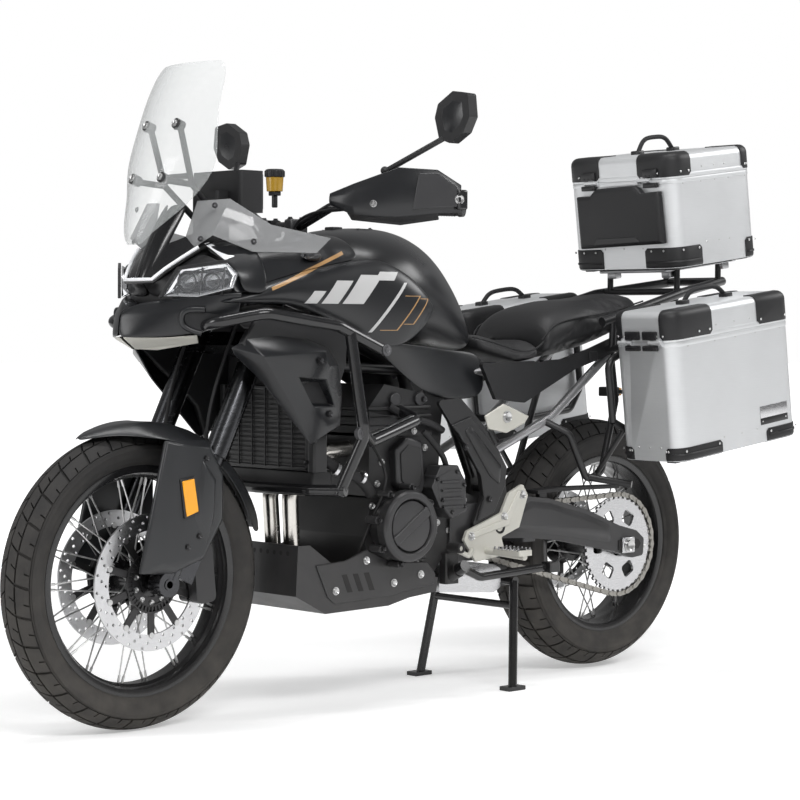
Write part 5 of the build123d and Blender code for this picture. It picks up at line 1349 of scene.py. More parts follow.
def build_engine():
    ring, disc, bar = bmesh.new(), bmesh.new(), bmesh.new()
    outward = (0, 1, 0)
    lathe(ring, ((-26, 84), (-2, 84), (6, 78), (6, 66), (0, 62), (-26, 62)), ROUND_COVER, outward, 56, True)
    lathe(disc, ((-10, 0.1), (3, 0.1), (4, 40), (2, 58), (-10, 62), (-12, 0.1)), ROUND_COVER, outward, 56, True)
    add_block(bar, (84, 200, 412), (210, 211, 437), Matrix.Rotation(radians(33), 4, "Y"), ROUND_COVER)
    make("alternator_rim", ring, COVER_METAL, bevel=2)
    make("alternator_face", disc, COVER_METAL, bevel=1)
    make("alternator_bar", bar, COVER_METAL, bevel=4)
    spots = [(147 + 90 * cos(k * pi / 4 + 0.2), 190, 424 + 90 * sin(k * pi / 4 + 0.2)) for k in range(8)]
    bosses = bmesh.new()
    for x, _, z in spots:
        add_drum(bosses, (x, 150, z), outward, 9, 38, 20)
    make("alternator_bosses", bosses, COVER_METAL, bevel=1.5)
    bolts("alternator_bolts", spots, outward, 5.5, 5, BLACK_BOLT)
    # tall cover over the cam drive, with a sunk panel
    tall = plate_piece(((58, 618), (106, 628), (144, 600), (140, 520), (122, 498), (60, 492), (46, 512)), 116, 146)
    make("cam_drive_cover", tall, COVER_METAL, bevel=6, segments=3)
    sunk = plate_piece(((68, 602), (104, 610), (130, 590), (126, 526), (112, 512), (70, 508), (62, 522)), 146, 149)
    make("cam_drive_panel", sunk, DARK_CAST, bevel=2)
    # ribbed cover behind it
    hexagon = ((46, 534), (-26, 560), (-56, 520), (-60, 446), (-8, 430), (30, 470))
    cover = plate_piece(hexagon, 130, 178)
    make("pump_cover", cover, COVER_METAL, bevel=6, segments=3)
    ribs = bmesh.new()
    for step in range(4):
        z = 460 + step * 20
        add_block(ribs, (-44 + step * 3, 176, z - 3), (22 + step * 2, 183, z + 3))
    make("pump_ribs", ribs, COVER_METAL, bevel=1.5)
    spots = ((46, 534), (-26, 552), (-52, 514), (-56, 452), (-8, 438), (28, 474))
    spots = [(x * 0.88 - 2, 177, 495 + (z - 495) * 0.84) for x, z in spots]
    bolts("pump_bolts", spots, outward, 4.5, 4, BLACK_BOLT)
    bolts("case_bolts", (
        (65, 122, 640), (30, 122, 600), (168, 122, 570), (182, 122, 520), (207, 132, 470), (-2, 132, 420),
        (-40, 132, 400), (60, 132, 330), (-90, 132, 470),
    ), outward, 6, 6, BOLT_STEEL)
    # cylinder block steps and head cover
    steps = bmesh.new()
    for low, high, reach in ((628, 640, 118), (652, 660, 116), (672, 680, 116), (692, 700, 114)):
        add_block(steps, (6, -reach - 6, low), (206, reach + 6, high))
    make("cylinder_ribs", steps, DARK_CAST, bevel=2.5)
    plugs = bmesh.new()
    for x in (40, 120):
        for side in (1, -1):
            add_drum(plugs, (x, side * 108, 716), (0, side, 0), 16, 12, 24)
    make("cam_plugs", plugs, COVER_METAL, bevel=2)
    # hoses and wires
    tube("coolant_hose_low", ((372, 120, 600), (330, 150, 560), (262, 160, 540), (226, 150, 500)), 13, SOFT_RUBBER)
    tube("coolant_hose_top", ((380, -100, 730), (300, -90, 742), (230, -60, 712)), 14, SOFT_RUBBER)
    tube("vent_hose", ((60, 150, 640), (20, 160, 600), (-10, 158, 560), (-30, 150, 500)), 7, SOFT_RUBBER)
    tube(
        "sensor_lead", ((220, 140, 620), (180, 156, 560), (200, 168, 500), (226, 150, 440), (238, 120, 360)), 3.5,
        SOFT_RUBBER,
    )
    tube("breather_hose", ((140, 118, 700), (90, 140, 668), (30, 142, 660), (-20, 130, 640)), 9, SOFT_RUBBER)
    clamps = bmesh.new()
    for spot, axis in (
        ((262, 160, 540), (-1, 0.1, -0.4)), ((330, 150, 560), (-0.8, 0.3, -0.5)), ((90, 140, 668), (-0.9, 0.1, -0.1))
    ):
        radius = 14.5 if spot[0] > 200 else 10
        lathe(clamps, ((-4, radius + 1), (4, radius + 1), (4, radius - 1), (-4, radius - 1)), spot, axis, 32, True)
    make("hose_clamps", clamps, STEEL)
    mount = bmesh.new()
    lathe(mount, ((0, 9), (0, 15), (138, 15), (138, 9)), (268, 196, 628), (-136, 0, 42), 32, True)
    make("bar_spacer", mount, STEEL, bevel=1)


build_engine()


def build_radiator():
    fins, tubes = bmesh.new(), bmesh.new()
    for step in range(46):
        z = 572 + step * 3.7
        add_block(fins, (402, -140, z), (415.5, 140, z + 0.9))
    for step in range(15):
        z = 577 + step * 11.4
        add_block(tubes, (398, -142, z), (413, 142, z + 2.4))
    make("radiator_fins", fins, FINE_PLASTIC)
    make("radiator_tubes", tubes, POWDER_SATIN)
    frame_ = bmesh.new()
    for low, high in (
        ((396, -152, 560), (417, 152, 570)), ((396, -152, 741), (417, 152, 751)), ((396, 140, 560), (417, 153, 751)),
        ((396, -153, 560), (417, -140, 751)),
    ):
        add_block(frame_, low, high)
    make("radiator_frame", frame_, POWDER_SATIN, bevel=2.5)
    shroud = bmesh.new()
    add_block(shroud, (346, -165, 735), (398, 165, 850))
    add_block(shroud, (344, -150, 520), (404, 150, 560))
    make("radiator_shroud", shroud, BLACK_PLASTIC, bevel=5)
    guard = bmesh.new()
    for y in (-96, -48, 0, 48, 96):
        add_block(guard, (416.5, y - 1.6, 566), (419.5, y + 1.6, 746))
    make("radiator_guard_bars", guard, BLACK_PLASTIC, bevel=0.6)
    bolts("radiator_bolts", [(417, side * 146, z) for side in (1, -1) for z in (580, 730)], (1, 0, 0), 5, 4)


build_radiator()
HEX_PLATE = ((-140, 672), (-204, 700), (-292, 668), (-276, 650), (-214, 628), (-152, 640))
LOWER_COVER = (
    (-26, 652), (-90, 672), (-182, 590), (-212, 545), (-206, 500), (-168, 436), (-112, 418), (-134, 473), (-124, 527),
    (-50, 630),
)

COVER_RIDGE = (
    ((-62, 159, 640), (-88, 159, 652), (-196, 159, 548), (-186, 159, 500), (-150, 159, 524)),
    ((-78, 168, 632), (-90, 168, 638), (-182, 166, 544), (-178, 166, 516), (-150, 167, 536)),
)


def build_frame_plates():
    """The silver hexagon with its bolt, and the dark creased cover down to the swingarm pivot."""
    plate_, cover, crease_ = bmesh.new(), bmesh.new(), bmesh.new()
    for side in (1, -1):
        slab(plate_, at_side(HEX_PLATE, side * 150), (0, side * 6, 0))
        slab(cover, at_side(LOWER_COVER, side * 153), (0, side * 7, 0))
        loft(crease_, [to_side(ring, side) for ring in COVER_RIDGE])
    make("frame_hexagons", plate_, PALE_ALLOY, bevel=2.5)
    make("frame_covers", cover, POWDER_SATIN, bevel=4, segments=3)
    make("frame_cover_ridges", crease_, POWDER_SATIN, bevel=4, sharp=50)
    bolts("frame_hexagon_bolts", ((-214, 156, 668),), (0, 1, 0), 11, 6, BOLT_STEEL, both=True)
    bolts("frame_pivot_bolts", ((-185, 158, 400),), (0, 1, 0), 15, 7, BLACK_BOLT, both=True)
    bolts(
        "frame_beam_bolts", ((60, 152, 716), (-40, 148, 690), (-70, 160, 600), (-150, 160, 470)), (0, 1, 0), 6.5, 5,
        BLACK_BOLT, both=True,
    )
    # heel plates: three bolts, a rib and the toothed peg
    bolts(
        "heel_plate_bolts", ((-88, 162, 384), (-200, 162, 426), (-262, 162, 476)), (0, 1, 0), 8, 5, BOLT_STEEL,
        both=True,
    )
    ribs = bmesh.new()
    teeth = bmesh.new()
    pads = bmesh.new()
    for side in (1, -1):
        slab(
            ribs, at_side(((-258, 486), (-246, 488), (-200, 420), (-92, 392), (-96, 380), (-214, 404)), side * 161),
            (0, side * 4, 0),
        )
        for step in range(7):
            y = side * (210 + step * 13)
            for x in (-160, -121):
                add_drum(teeth, (x, y, 354), (0, 0, 1), 4.2, 8, 8, 1.6)
        add_block(pads, (-150, side * 214, 354), (-130, side * 286, 360))
    make("heel_plate_ribs", ribs, PALE_ALLOY, bevel=1.5)
    make("peg_teeth", teeth, STEEL)
    make("peg_rubbers", pads, SOFT_RUBBER, bevel=2)
    knob = bmesh.new()
    lathe(knob, ((-2, 6), (-2, 12), (42, 12), (42, 6)), (12, 192, 366), (0, 1, 0), 24, True)
    make("shift_lever_rubber", knob, SOFT_RUBBER, bevel=2)


build_frame_plates()


def build_skid():
    """A ribbed side cover on each flank and rows of holes drawn as dark studs sunk in the front; the studs, and the
    slots on the flanks, are painted shade in the openings.
    """
    side_cover, hole_shade = bmesh.new(), bmesh.new()
    outline = (
        (352, 268), (388, 344), (300, 350), (236, 372), (150, 336), (40, 330), (14, 300), (20, 276), (160, 258),
        (330, 252),
    )
    for side in (1, -1):
        slab(side_cover, at_side(outline, side * 142), (0, side * 5, 0))
    make("skid_plate_flanks", side_cover, SKID_METAL, bevel=3)
    # each hole is a dark stud: painted shade where the plate is open
    for row in range(4):
        for column in range(9):
            x = 437.5 - row * 0.2
            add_drum(
                hole_shade, (x - 2, -96 + column * 24 + (12 if row % 2 else 0), 306 + row * 22), (1, 0, 0.05), 5.4, 5.2, 14
            )
    make("skid_plate_hole_shade", hole_shade, SOFT_RUBBER)
    bolts(
        "skid_plate_bolts", ((236, 147, 346), (64, 147, 302), (330, 147, 282), (150, 147, 288)), (0, 1, 0), 7, 5,
        BOLT_STEEL, both=True,
    )
    # dark strips on the flank covers: painted shade in their slots
    slot_shade = bmesh.new()
    for side in (1, -1):
        for step in range(3):
            x = 210 + step * 34
            slab(
                slot_shade, [(a, side * 146.4, z) for a, z in ((x, 276), (x + 16, 276), (x + 34, 318), (x + 18, 318))],
                (0, side * 1.2, 0),
            )
    make("skid_plate_slot_shade", slot_shade, SOFT_RUBBER, bevel=0.4)


build_skid()
clamp_rings = bmesh.new()
for y in (-62, -24, 24, 62):
    lathe(clamp_rings, ((-7, 21), (-7, 27), (7, 27), (7, 21)), (262, y, 560), (0.25, 0, -1), 32, True)
make("header_clamps", clamp_rings, STEEL, bevel=1)

# ---------------------------------------------------------------- seats, swingarm, chain and tail
SEAT_VINYL = grained(
    "seat vinyl", (0.0155, 0.0155, 0.0165), 0.52, 520, 0.55, 0.2, dust=0.04, cloud=9.0, Specular_IOR_Level=0.35
)
SEAT_SIDE = grained(
    "seat side vinyl", (0.0115, 0.0115, 0.0125), 0.58, 900, 0.6, 0.2, dust=0.04, cloud=9.0, Specular_IOR_Level=0.3
)
SLOT_OF[SEAT_VINYL] = SLOT_OF[SEAT_SIDE] = "seat"
RIDER_SEAT = (                  # X, half width, height of the foot and of the crown
    (-190, 58, 838, 872), (-214, 88, 822, 868), (-250, 112, 812, 852), (-296, 134, 804, 834), (-334, 142, 804, 842),
    (-362, 140, 808, 868),
)
PILLION_SEAT = (
    (-369, 128, 812, 874), (-386, 138, 812, 908), (-414, 137, 814, 932), (-480, 134, 828, 944), (-560, 130, 842, 950),
    (-643, 123, 868, 955), (-720, 110, 890, 968), (-782, 92, 910, 974),
)
CLOTH_FRAMES = 16


def swell(made, cap, pressure):
    """Fills a closed cushion with air and lets its cover bulge, no point further than the cap."""
    start = [v.co.copy() for v in made.data.vertices]
    cloth = made.modifiers.new("air", "CLOTH")
    cloth.settings.use_pressure = True
    cloth.settings.uniform_pressure_force = pressure
    cloth.settings.effector_weights.gravity = 0
    cloth.settings.quality = 6
    cloth.settings.tension_stiffness = cloth.settings.compression_stiffness = 22
    cloth.settings.bending_stiffness = 3
    scene = bpy.context.scene
    for step in range(1, CLOTH_FRAMES + 1):
        scene.frame_set(step)
    shape = made.evaluated_get(bpy.context.evaluated_depsgraph_get()).data
    ends = [v.co.copy() for v in shape.vertices]
    made.modifiers.remove(cloth)
    scene.frame_set(1)
    for vert, first, last in zip(made.data.vertices, start, ends):
        move = last - first
        far = move.length
        vert.co = first + (move * (cap / far) if far > cap else move)


def cushion(name, sections, node, cap, pressure):
    body = bmesh.new()
    rings = []
    for x, half, low, high in sections:
        rise = high - low
        profile = (
            (half * 0.9, low), (half, low + rise * 0.30), (half * 0.96, low + rise * 0.68),
            (half * 0.74, high - rise * 0.08),
            (half * 0.36, high - 1),
        )
        rings.append([(x, y, z) for y, z in profile] + [(x, -y, z) for y, z in reversed(profile)])
    loft(body, rings)
    bmesh.ops.recalc_face_normals(body, faces=body.faces)
    data = bpy.data.meshes.new(name)
    body.to_mesh(data)
    body.free()
    made = add_object(name, data)
    round_ = made.modifiers.new("round", "SUBSURF")
    round_.levels = round_.render_levels = 2
    even = made.modifiers.new("even", "REMESH")
    even.mode, even.voxel_size = "VOXEL", 0.0065
    shaped = bpy.data.meshes.new_from_object(made.evaluated_get(bpy.context.evaluated_depsgraph_get()))
    made.modifiers.clear()
    made.data = shaped
    swell(made, cap, pressure)
    shaped.shade_smooth()
    shaped.materials.append(SEAT_VINYL)
    smooth = made.modifiers.new("smooth", "SUBSURF")
    smooth.levels = smooth.render_levels = 1
    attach(made, "chassis")
    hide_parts(node)
    return made


cushion("rider_cushion", RIDER_SEAT, "rider_seat", 0.007, 3.0)
cushion("pillion_cushion", PILLION_SEAT, "pillion_seat", 0.009, 3.5)


def seat_line(sections, share_y, share_z, out):
    return [(x, half * share_y + out, low + (high - low) * share_z) for x, half, low, high in sections]


for side, word in SIDES:
    for label, sections in (("rider", RIDER_SEAT), ("pillion", PILLION_SEAT)):
        line = [(x, side * y, z) for x, y, z in seat_line(sections, 0.95, 0.70, 2)]
        tube(f"{label}_{word}_piping", line, 2.2, SEAT_SIDE)


ARM_RIDGE_FOOT = (
    (-206, 428), (-314, 460), (-382, 452), (-520, 417), (-606, 386), (-616, 330), (-420, 362), (-300, 376), (-206, 388),
)
ARM_RIDGE_TOP = (
    (-222, 416), (-316, 444), (-380, 436), (-512, 402), (-586, 374), (-590, 350), (-424, 378), (-304, 392), (-222, 402),
)


def build_swingarm_trim():
    ridge, slot_shade, blocks = bmesh.new(), bmesh.new(), bmesh.new()
    for side in (1, -1):
        loft(ridge, [at_side(ARM_RIDGE_FOOT, side * 138), at_side(ARM_RIDGE_TOP, side * 147)])
        # a dark slab round each axle block: painted shade in the adjuster slot
        slab(
            slot_shade, at_side(((-636, 340), (-712, 340), (-722, 328), (-712, 314), (-636, 314)), side * 140),
            (0, side * 3, 0),
        )
        add_block(blocks, (-694, side * 141, 306), (-648, side * 147, 346))
    make("swingarm_ridges", ridge, GREY_SATIN, bevel=5, sharp=50, segments=3)
    make("axle_slot_shade", slot_shade, SOFT_RUBBER, bevel=2)
    make("axle_blocks", blocks, STEEL, bevel=3)
    bolts("rear_axle_nuts", ((-670, 146, 326),), (0, 1, 0), 14, 9, BOLT_STEEL, both=True)
    bolts("adjuster_bolts", ((-738, 130, 318),), (-1, 0, 0), 5, 10, BOLT_STEEL, both=True)
    steps = 150
    coil = []
    lower, upper = Vector((-296, 0, 470)), Vector((-258, 0, 612))
    way = (upper - lower).normalized()
    one = way.cross(Vector((0, 1, 0))).normalized()
    for step in range(steps + 1):
        turn = step / steps * 7 * 2 * pi
        spot = lower + (upper - lower) * (step / steps) + (one * cos(turn) + Vector((0, 1, 0)) * sin(turn)) * 34
        coil.append(tuple(spot))
    tube("shock_spring", coil, 5.5, POWDER_SATIN, smooth=False)


build_swingarm_trim()


CHAIN_PITCH, CHAIN_LINE = 15.875, 105      # the second is its distance from the middle


def chain_path():
    """Points along the chain's loop: round the rear sprocket, then at the one on the engine."""
    drive, rear = Vector((-112, 392)), Vector((-670, 326))
    drive_radius, rear_radius = 45.0, 129.0
    along = rear - drive
    reach = pi - acos((rear_radius - drive_radius) / along.length)
    base = atan2(along.y, along.x)
    steps = 60
    spots = []
    for centre, radius, start, turn in (
        (rear, rear_radius, base - reach, 2 * reach), (drive, drive_radius, base + reach, -2 * reach),
    ):
        for step in range(steps + 1):
            angle = start + turn * step / steps
            spots.append(centre + Vector((cos(angle), sin(angle))) * radius)
    return spots


def build_chain():
    spots = chain_path()
    lengths = [0.0]
    loop = spots + [spots[0]]
    for first, second in zip(loop, loop[1:]):
        lengths.append(lengths[-1] + (second - first).length)
    count = 2 * round(lengths[-1] / CHAIN_PITCH / 2)
    pitch = lengths[-1] / count

    def at_length(far):
        far %= lengths[-1]
        for k in range(len(lengths) - 1):
            if far <= lengths[k + 1]:
                share = (far - lengths[k]) / max(1e-9, lengths[k + 1] - lengths[k])
                return loop[k] + (loop[k + 1] - loop[k]) * share
        return loop[0]

    plates, rollers = bmesh.new(), bmesh.new()
    for k in range(count):
        a, b = at_length(k * pitch), at_length((k + 1) * pitch)
        middle, way = (a + b) / 2, (b - a).normalized()
        out = 7.4 if k % 2 else 5.6
        for side in (1, -1):
            place = Matrix.Translation(point(middle.x, CHAIN_LINE + side * out, middle.y))
            place = place @ Matrix.Rotation(-atan2(way.y, way.x), 4, "Y") @ Matrix.Rotation(pi / 2, 4, "X")
            bmesh.ops.create_cone(
                plates, cap_ends=True, segments=10, radius1=6.6 * MM, radius2=6.6 * MM, depth=1.5 * MM,
                matrix=place @ Matrix.Diagonal((1.72, 1, 1, 1)),
            )
        add_drum(rollers, (a.x, CHAIN_LINE - 8.6, a.y), (0, 1, 0), 4.6, 17.2, 10)
    make("chain_links", plates, CHAIN_STEEL, stands_for="chain", sharp=30)
    make("chain_rollers", rollers, CHAIN_STEEL, sharp=30)


build_chain()


def build_tail():
    lens, amber, housing = bmesh.new(), bmesh.new(), bmesh.new()
    add_block(lens, (-901, -56, 900), (-880, 56, 926))
    add_block(housing, (-884, -60, 896), (-868, 60, 930))
    for side in (1, -1):
        add_block(amber, (-951, side * 134, 699), (-938, side * 188, 721))
        add_block(housing, (-940, side * 132, 697), (-916, side * 190, 723))
        add_drum(housing, (-930, side * 50, 710), (0, side, 0), 6, 84, 16)
    make("tail_lamp_lens", lens, RED_LENS, bevel=3)
    make("rear_signal_lenses", amber, AMBER, bevel=3)
    make("rear_lamp_housings", housing, FINE_PLASTIC, stands_for="signal_lamps", bevel=3)
    front, feet = bmesh.new(), bmesh.new()
    for side in (1, -1):
        add_ball(front, (452, side * 196, 1048), 15, (1.5, 0.8, 0.75))
        add_ball(feet, (440, side * 193, 1044), 16, (1.5, 0.8, 0.7))
    make("front_signal_lenses", front, LAMP_GLASS)
    make("front_signal_feet", feet, FINE_PLASTIC)
    place = case_place((-785, 1270), 0)
    carrier = bmesh.new()
    local_block(carrier, place, (24, 316), (-118, 118), (-245, -236), 3)
    for back in (60, 280):
        for side in (-96, 96):
            local_block(carrier, place, (back - 14, back + 14), (side - 14, side + 14), (-262, -243), 3)
    make("carrier_plate", carrier, SILVER_PAINT, bevel=1)
    badge = bmesh.new()
    for side in (1, -1):
        add_block(badge, (-560, side * 131, 800), (-532, side * 135, 826))
    make("seat_side_buttons", badge, SOFT_RUBBER, bevel=3)


# ---------------------------------------------------------------- handlebar, guards, mirrors and instruments
BAR_BEND, BAR_END = Vector((331, 205, 1160)), Vector((207, 425, 1150))
BAR_WAY = (BAR_END - BAR_BEND).normalized()
GUARD_LINE = (                  # X, Y, then the lower and the upper edge
    (398, 204, 1160, 1184), (372, 258, 1134, 1206), (318, 344, 1130, 1240), (262, 410, 1138, 1234),
    (222, 444, 1140, 1200),
)


def on_bar(distance, side=1, lift=0.0, ahead=0.0):
    spot = BAR_BEND + BAR_WAY * distance + Vector((ahead, 0, lift))
    return (spot.x, side * spot.y, spot.z)


def build_bars():
    ribs, ends = bmesh.new(), bmesh.new()
    for side in (1, -1):
        way = (BAR_WAY.x, side * BAR_WAY.y, BAR_WAY.z)
        for step in range(20):
            lathe(ribs, ((-1.6, 16.4), (-1, 18.1), (1, 18.1), (1.6, 16.4)), on_bar(126 + step * 6, side), way, 28, True)
        lathe(ends, ((0, 0.1), (0, 17), (3, 19), (14, 18), (16, 0.1)), on_bar(248, side), way, 28)
        lathe(ends, ((-5, 17), (-5, 22), (0, 22), (0, 17)), on_bar(122, side), way, 28, True)
    make("grip_ribs", ribs, SOFT_RUBBER, "steering")
    make("bar_ends", ends, POWDER_SATIN, "steering", bevel=1)
    switches = bmesh.new()
    for side in (1, -1):
        for step, lift in ((74, 8), (86, 2), (98, -6)):
            x, y, z = on_bar(step, side, lift, -23)
            add_block(switches, (x - 4, y - 5, z - 4), (x + 6, y + 5, z + 4))
    make("switch_buttons", switches, BLACK_PLASTIC, "steering", bevel=1.5)
    shell, low_shell, brackets = bmesh.new(), bmesh.new(), bmesh.new()
    for side, word in SIDES:
        rows = [[], [], [], []]
        for x, y, low, high in GUARD_LINE:
            rise = high - low
            for row, (share, push) in zip(rows, ((1.0, -1), (0.62, 6), (0.3, 7), (0.0, 1))):
                row.append((x + push * 0.75, side * (y + push * 0.5), low + rise * share))
        mesh = patch(rows, (0.8, side * 0.5, 0))
        made = make(
            f"handguard_{word}", mesh, SATIN_PAINT, "steering", "handguards" if side > 0 else (), bevel=2, wall=7,
            outward=False, sharp=15,
        )
        made.modifiers["wall"].offset = 0
        tip = to_side(
            (
                (300, 372, 1146), (262, 414, 1150), (232, 444, 1152), (232, 444, 1196), (262, 414, 1226),
                (292, 384, 1226),
            ),
            side,
        )
        slab(shell, [(x + 6, y + side * 4, z) for x, y, z in tip], (3, side * 3, 0))
        add_block(brackets, (212, side * 436, 1146), (240, side * 456, 1190))
        slab(
            low_shell,
            to_side(
                (
                    (380, 240, 1140), (318, 340, 1132), (262, 408, 1140), (244, 396, 1124), (300, 330, 1112),
                    (366, 240, 1124),
                ),
                side,
            ),
            (0, 0, 5),
        )
    make("handguard_facets", shell, COVER_METAL, "steering", bevel=2)
    make("handguard_lips", low_shell, BLACK_PLASTIC, "steering", bevel=2)
    make("handguard_brackets", brackets, POWDER_GLOSS, "steering", bevel=4)
    screws = bmesh.new()
    for side in (1, -1):
        add_bolt(screws, (236, side * 452.5, 1168), (0.5, side, 0), 8, 5)
        add_bolt(screws, (352, side * 300, 1160), (0.8, side * 0.5, 0), 6, 14)
    make("handguard_screws", screws, BOLT_STEEL, "steering")


build_bars()
MIRROR_FACE = ((346, 1356), (356, 1386), (404, 1412), (452, 1404), (458, 1352), (438, 1318), (396, 1296), (360, 1308))


def build_mirrors():
    """Faceted heads with a glass in a rim behind, on the stalks of the part."""
    heads, glass = bmesh.new(), bmesh.new()
    for side, drop in ((1, 0), (-1, 22)):
        middle = (404, 1356 - drop)
        face = [(y, z - drop) for y, z in MIRROR_FACE]
        rings = []
        for x, share in ((186, 0.97), (190, 1.0), (199, 0.98), (209, 0.74), (215, 0.34)):
            rings.append([
                (x, side * (middle[0] + (y - middle[0]) * share), middle[1] + (z - middle[1]) * share) for y, z in face
            ])
        loft(heads, rings)
        slab(glass, [
            (185.2, side * (middle[0] + (y - middle[0]) * 0.9), middle[1] + (z - middle[1]) * 0.9) for y, z in face
        ], (1.5, 0, 0))
    make("mirror_heads", heads, SATIN_PAINT, "steering", bevel=2.2, sharp=20)
    make("mirror_glass", glass, CHROME, "steering")
    joints = bmesh.new()
    for side, drop in ((1, 0), (-1, 22)):
        x, y, z = on_bar(76, side, 18)
        add_ball(joints, (x, y, z + 62), 10)
        add_drum(joints, (x, y, z - 4), (0, 0, 1), 10, 20, 6)
        add_ball(joints, (199, side * 376, 1314 - drop), 9)
    make("mirror_joints", joints, BLACK_PLASTIC, "steering", bevel=1)


build_mirrors()


def build_cockpit():
    cup, cap, bracket = bmesh.new(), bmesh.new(), bmesh.new()
    lathe(cup, ((0, 0.1), (0, 19), (30, 21), (34, 21), (34, 0.1)), (290, -122, 1206), (0, 0, 1), 32)
    lathe(cap, ((34, 0.1), (34, 23), (50, 23), (53, 19), (53, 0.1)), (290, -122, 1206), (0, 0, 1), 32)
    for step in range(18):
        angle = step * pi / 9
        add_block(
            cap, (290 + 23 * cos(angle) - 1.2, -122 + 23 * sin(angle) - 1.2, 1241),
            (290 + 23 * cos(angle) + 1.2, -122 + 23 * sin(angle) + 1.2, 1255),
        )
    add_block(bracket, (280, -134, 1196), (300, -110, 1207))
    add_drum(bracket, (290, -122, 1168), (0, 0, 1), 7, 34, 16)
    make("reservoir_cup", cup, FLUID, "steering", bevel=1)
    make("reservoir_cap", cap, FINE_PLASTIC, "steering", bevel=0.8)
    make("reservoir_bracket", bracket, POWDER_SATIN, "steering", bevel=2)
    display = bmesh.new()
    add_block(display, (489, -80, 1150), (493, 80, 1229))
    make("display_glass", display, DARK_GLASS, bevel=1.5)
    clamps = bmesh.new()
    for side in (1, -1):
        add_block(clamps, (340, side * 34, 1093), (392, side * 60, 1133))
    make("bar_clamps", clamps, GREY_SATIN, "steering", bevel=5)
    bolts(
        "bar_clamp_bolts", [(366 + dx, side * 47, 1133) for side in (1, -1) for dx in (-17, 17)], (0, 0, 1), 5, 5,
        BLACK_BOLT, "steering",
    )
    for side, word in SIDES:
        tube(f"brake_hose_{word}", (
            steering_spot(-40, 780, side * 60), steering_spot(30, 700, side * 70), steering_spot(44, 560, side * 84),
            steering_spot(24, 380, side * 74), steering_spot(-60, 180, side * 86), steering_spot(-96, 70, side * 76),
        ), 4, SOFT_RUBBER, "steering")
        tube(f"clutch_cable_{word}", (
            on_bar(70, side, -6, 30), on_bar(20, side, -4, 40), (392, side * 98, 1142), (390, side * 54, 1092),
            (376, side * 34, 1020),
        ), 3.4, SOFT_RUBBER, "steering")


build_cockpit()

# ---------------------------------------------------------------- luggage cases
CASES = (                       # name, lid line at the front face, middle Y, length, width, box and lid height
    ("pannier_left", (-478, 849), 356.5, 463, 209, 293, 76, "left_lid"),
    ("pannier_right", (-478, 849), -356.5, 463, 209, 293, 76, "right_lid"),
    ("top_case", (-785, 1270), 0.0, 332, 373, 232, 66, "top_lid"),
)
CAP_WALL = 2.4
CASE_SHRINK = {"pannier": (1.0, 0.945), "top_case": (0.99, 1.0)}   # of length and width: room for caps and rivets
CLASP_SPOTS = {"pannier": (-26, 33.5), "top_case": (-103, 115)}
HANDLES = {"pannier": (163, 330, 34), "top_case": (84, 229, 44)}   # its two feet, from the front, and its rise


def case_place(front, y_mid):
    """From a case's own axes (ahead, side, up from the lid line at the front face) in millimetres to the row frame."""
    basis = Matrix((CASE_AHEAD, Vector((0, 1, 0)), CASE_UP)).transposed().to_4x4()
    return Matrix.Translation(point(front[0], y_mid, front[1])) @ basis @ Matrix.Scale(MM, 4)


def shell_of_case(length, width, low, high, grow, corner, edge, at_top):
    """A block as large as the case and a little more, its upright corners rounded, and one end's edges too."""
    mesh = bmesh.new()
    size = (length + 2 * grow, width + 2 * grow, high - low)
    centre = Matrix.Translation((-length / 2, 0, (high + low) / 2))
    bmesh.ops.create_cube(mesh, size=1, matrix=centre @ Matrix.Diagonal((*size, 1)))
    upright = [e for e in mesh.edges if abs(e.verts[0].co.z - e.verts[1].co.z) > 1]
    bmesh.ops.bevel(mesh, geom=upright, offset=corner + grow, affect="EDGES", segments=7, profile=0.5, material=-1)
    if edge:
        end = high if at_top else low
        rim = [e for e in mesh.edges if all(abs(v.co.z - end) < 0.01 for v in e.verts)]
        bmesh.ops.bevel(mesh, geom=rim, offset=edge, affect="EDGES", segments=5, profile=0.5, material=-1)
    return mesh


def corner_shell(length, width, low, high, grow, edge, at_top, front, side, reach_x, reach_y, nip):
    """The part of that block round one corner, open behind, with nipped lower or upper tips."""
    mesh = shell_of_case(length, width, low, high, grow, 40, edge, at_top)
    far_end = low if at_top else high
    drop = [f for f in mesh.faces if all(abs(v.co.z - far_end) < 0.01 for v in f.verts)]
    bmesh.ops.delete(mesh, geom=drop, context="FACES")
    x_edge = -reach_x if front else -length + reach_x
    keep_side(mesh, (x_edge, 0, 0), (1 if front else -1, 0, 0))
    y_edge = side * (width / 2 - reach_y)
    keep_side(mesh, (0, y_edge, 0), (0, side, 0))
    way = 1 if at_top else -1
    keep_side(mesh, (x_edge, 0, far_end + way * nip), (1 if front else -1, 0, way))
    keep_side(mesh, (0, y_edge, far_end + way * nip), (0, side, way))
    return mesh


def local_block(mesh, place, back, side, up, bevel=1.0):
    """A block between two values on each of the case's own axes."""
    part = bmesh.new()
    low = (-max(back), min(side), min(up))
    high = (-min(back), max(side), max(up))
    size = [b - a for a, b in zip(low, high)]
    middle = [(a + b) / 2 for a, b in zip(low, high)]
    bmesh.ops.create_cube(part, size=1, matrix=Matrix.Translation(middle) @ Matrix.Diagonal((*size, 1)))
    if bevel:
        bmesh.ops.bevel(part, geom=part.edges[:], offset=bevel, affect="EDGES", segments=2, profile=0.5, material=-1)
    merge(mesh, part, place)


def local_rivet(mesh, place, spot, way, radius=3.2, height=1.6):
    part = bmesh.new()
    bmesh.ops.create_uvsphere(part, u_segments=12, v_segments=6, radius=1)
    keep_side(part, (0, 0, 0), (0, 0, 1))
    bmesh.ops.scale(part, vec=(radius, radius, height), verts=part.verts)
    turn = Vector(way).to_track_quat("Z", "Y").to_matrix().to_4x4()
    bmesh.ops.transform(part, matrix=Matrix.Translation((-spot[0], spot[1], spot[2])) @ turn, verts=part.verts)
    merge(mesh, part, place)


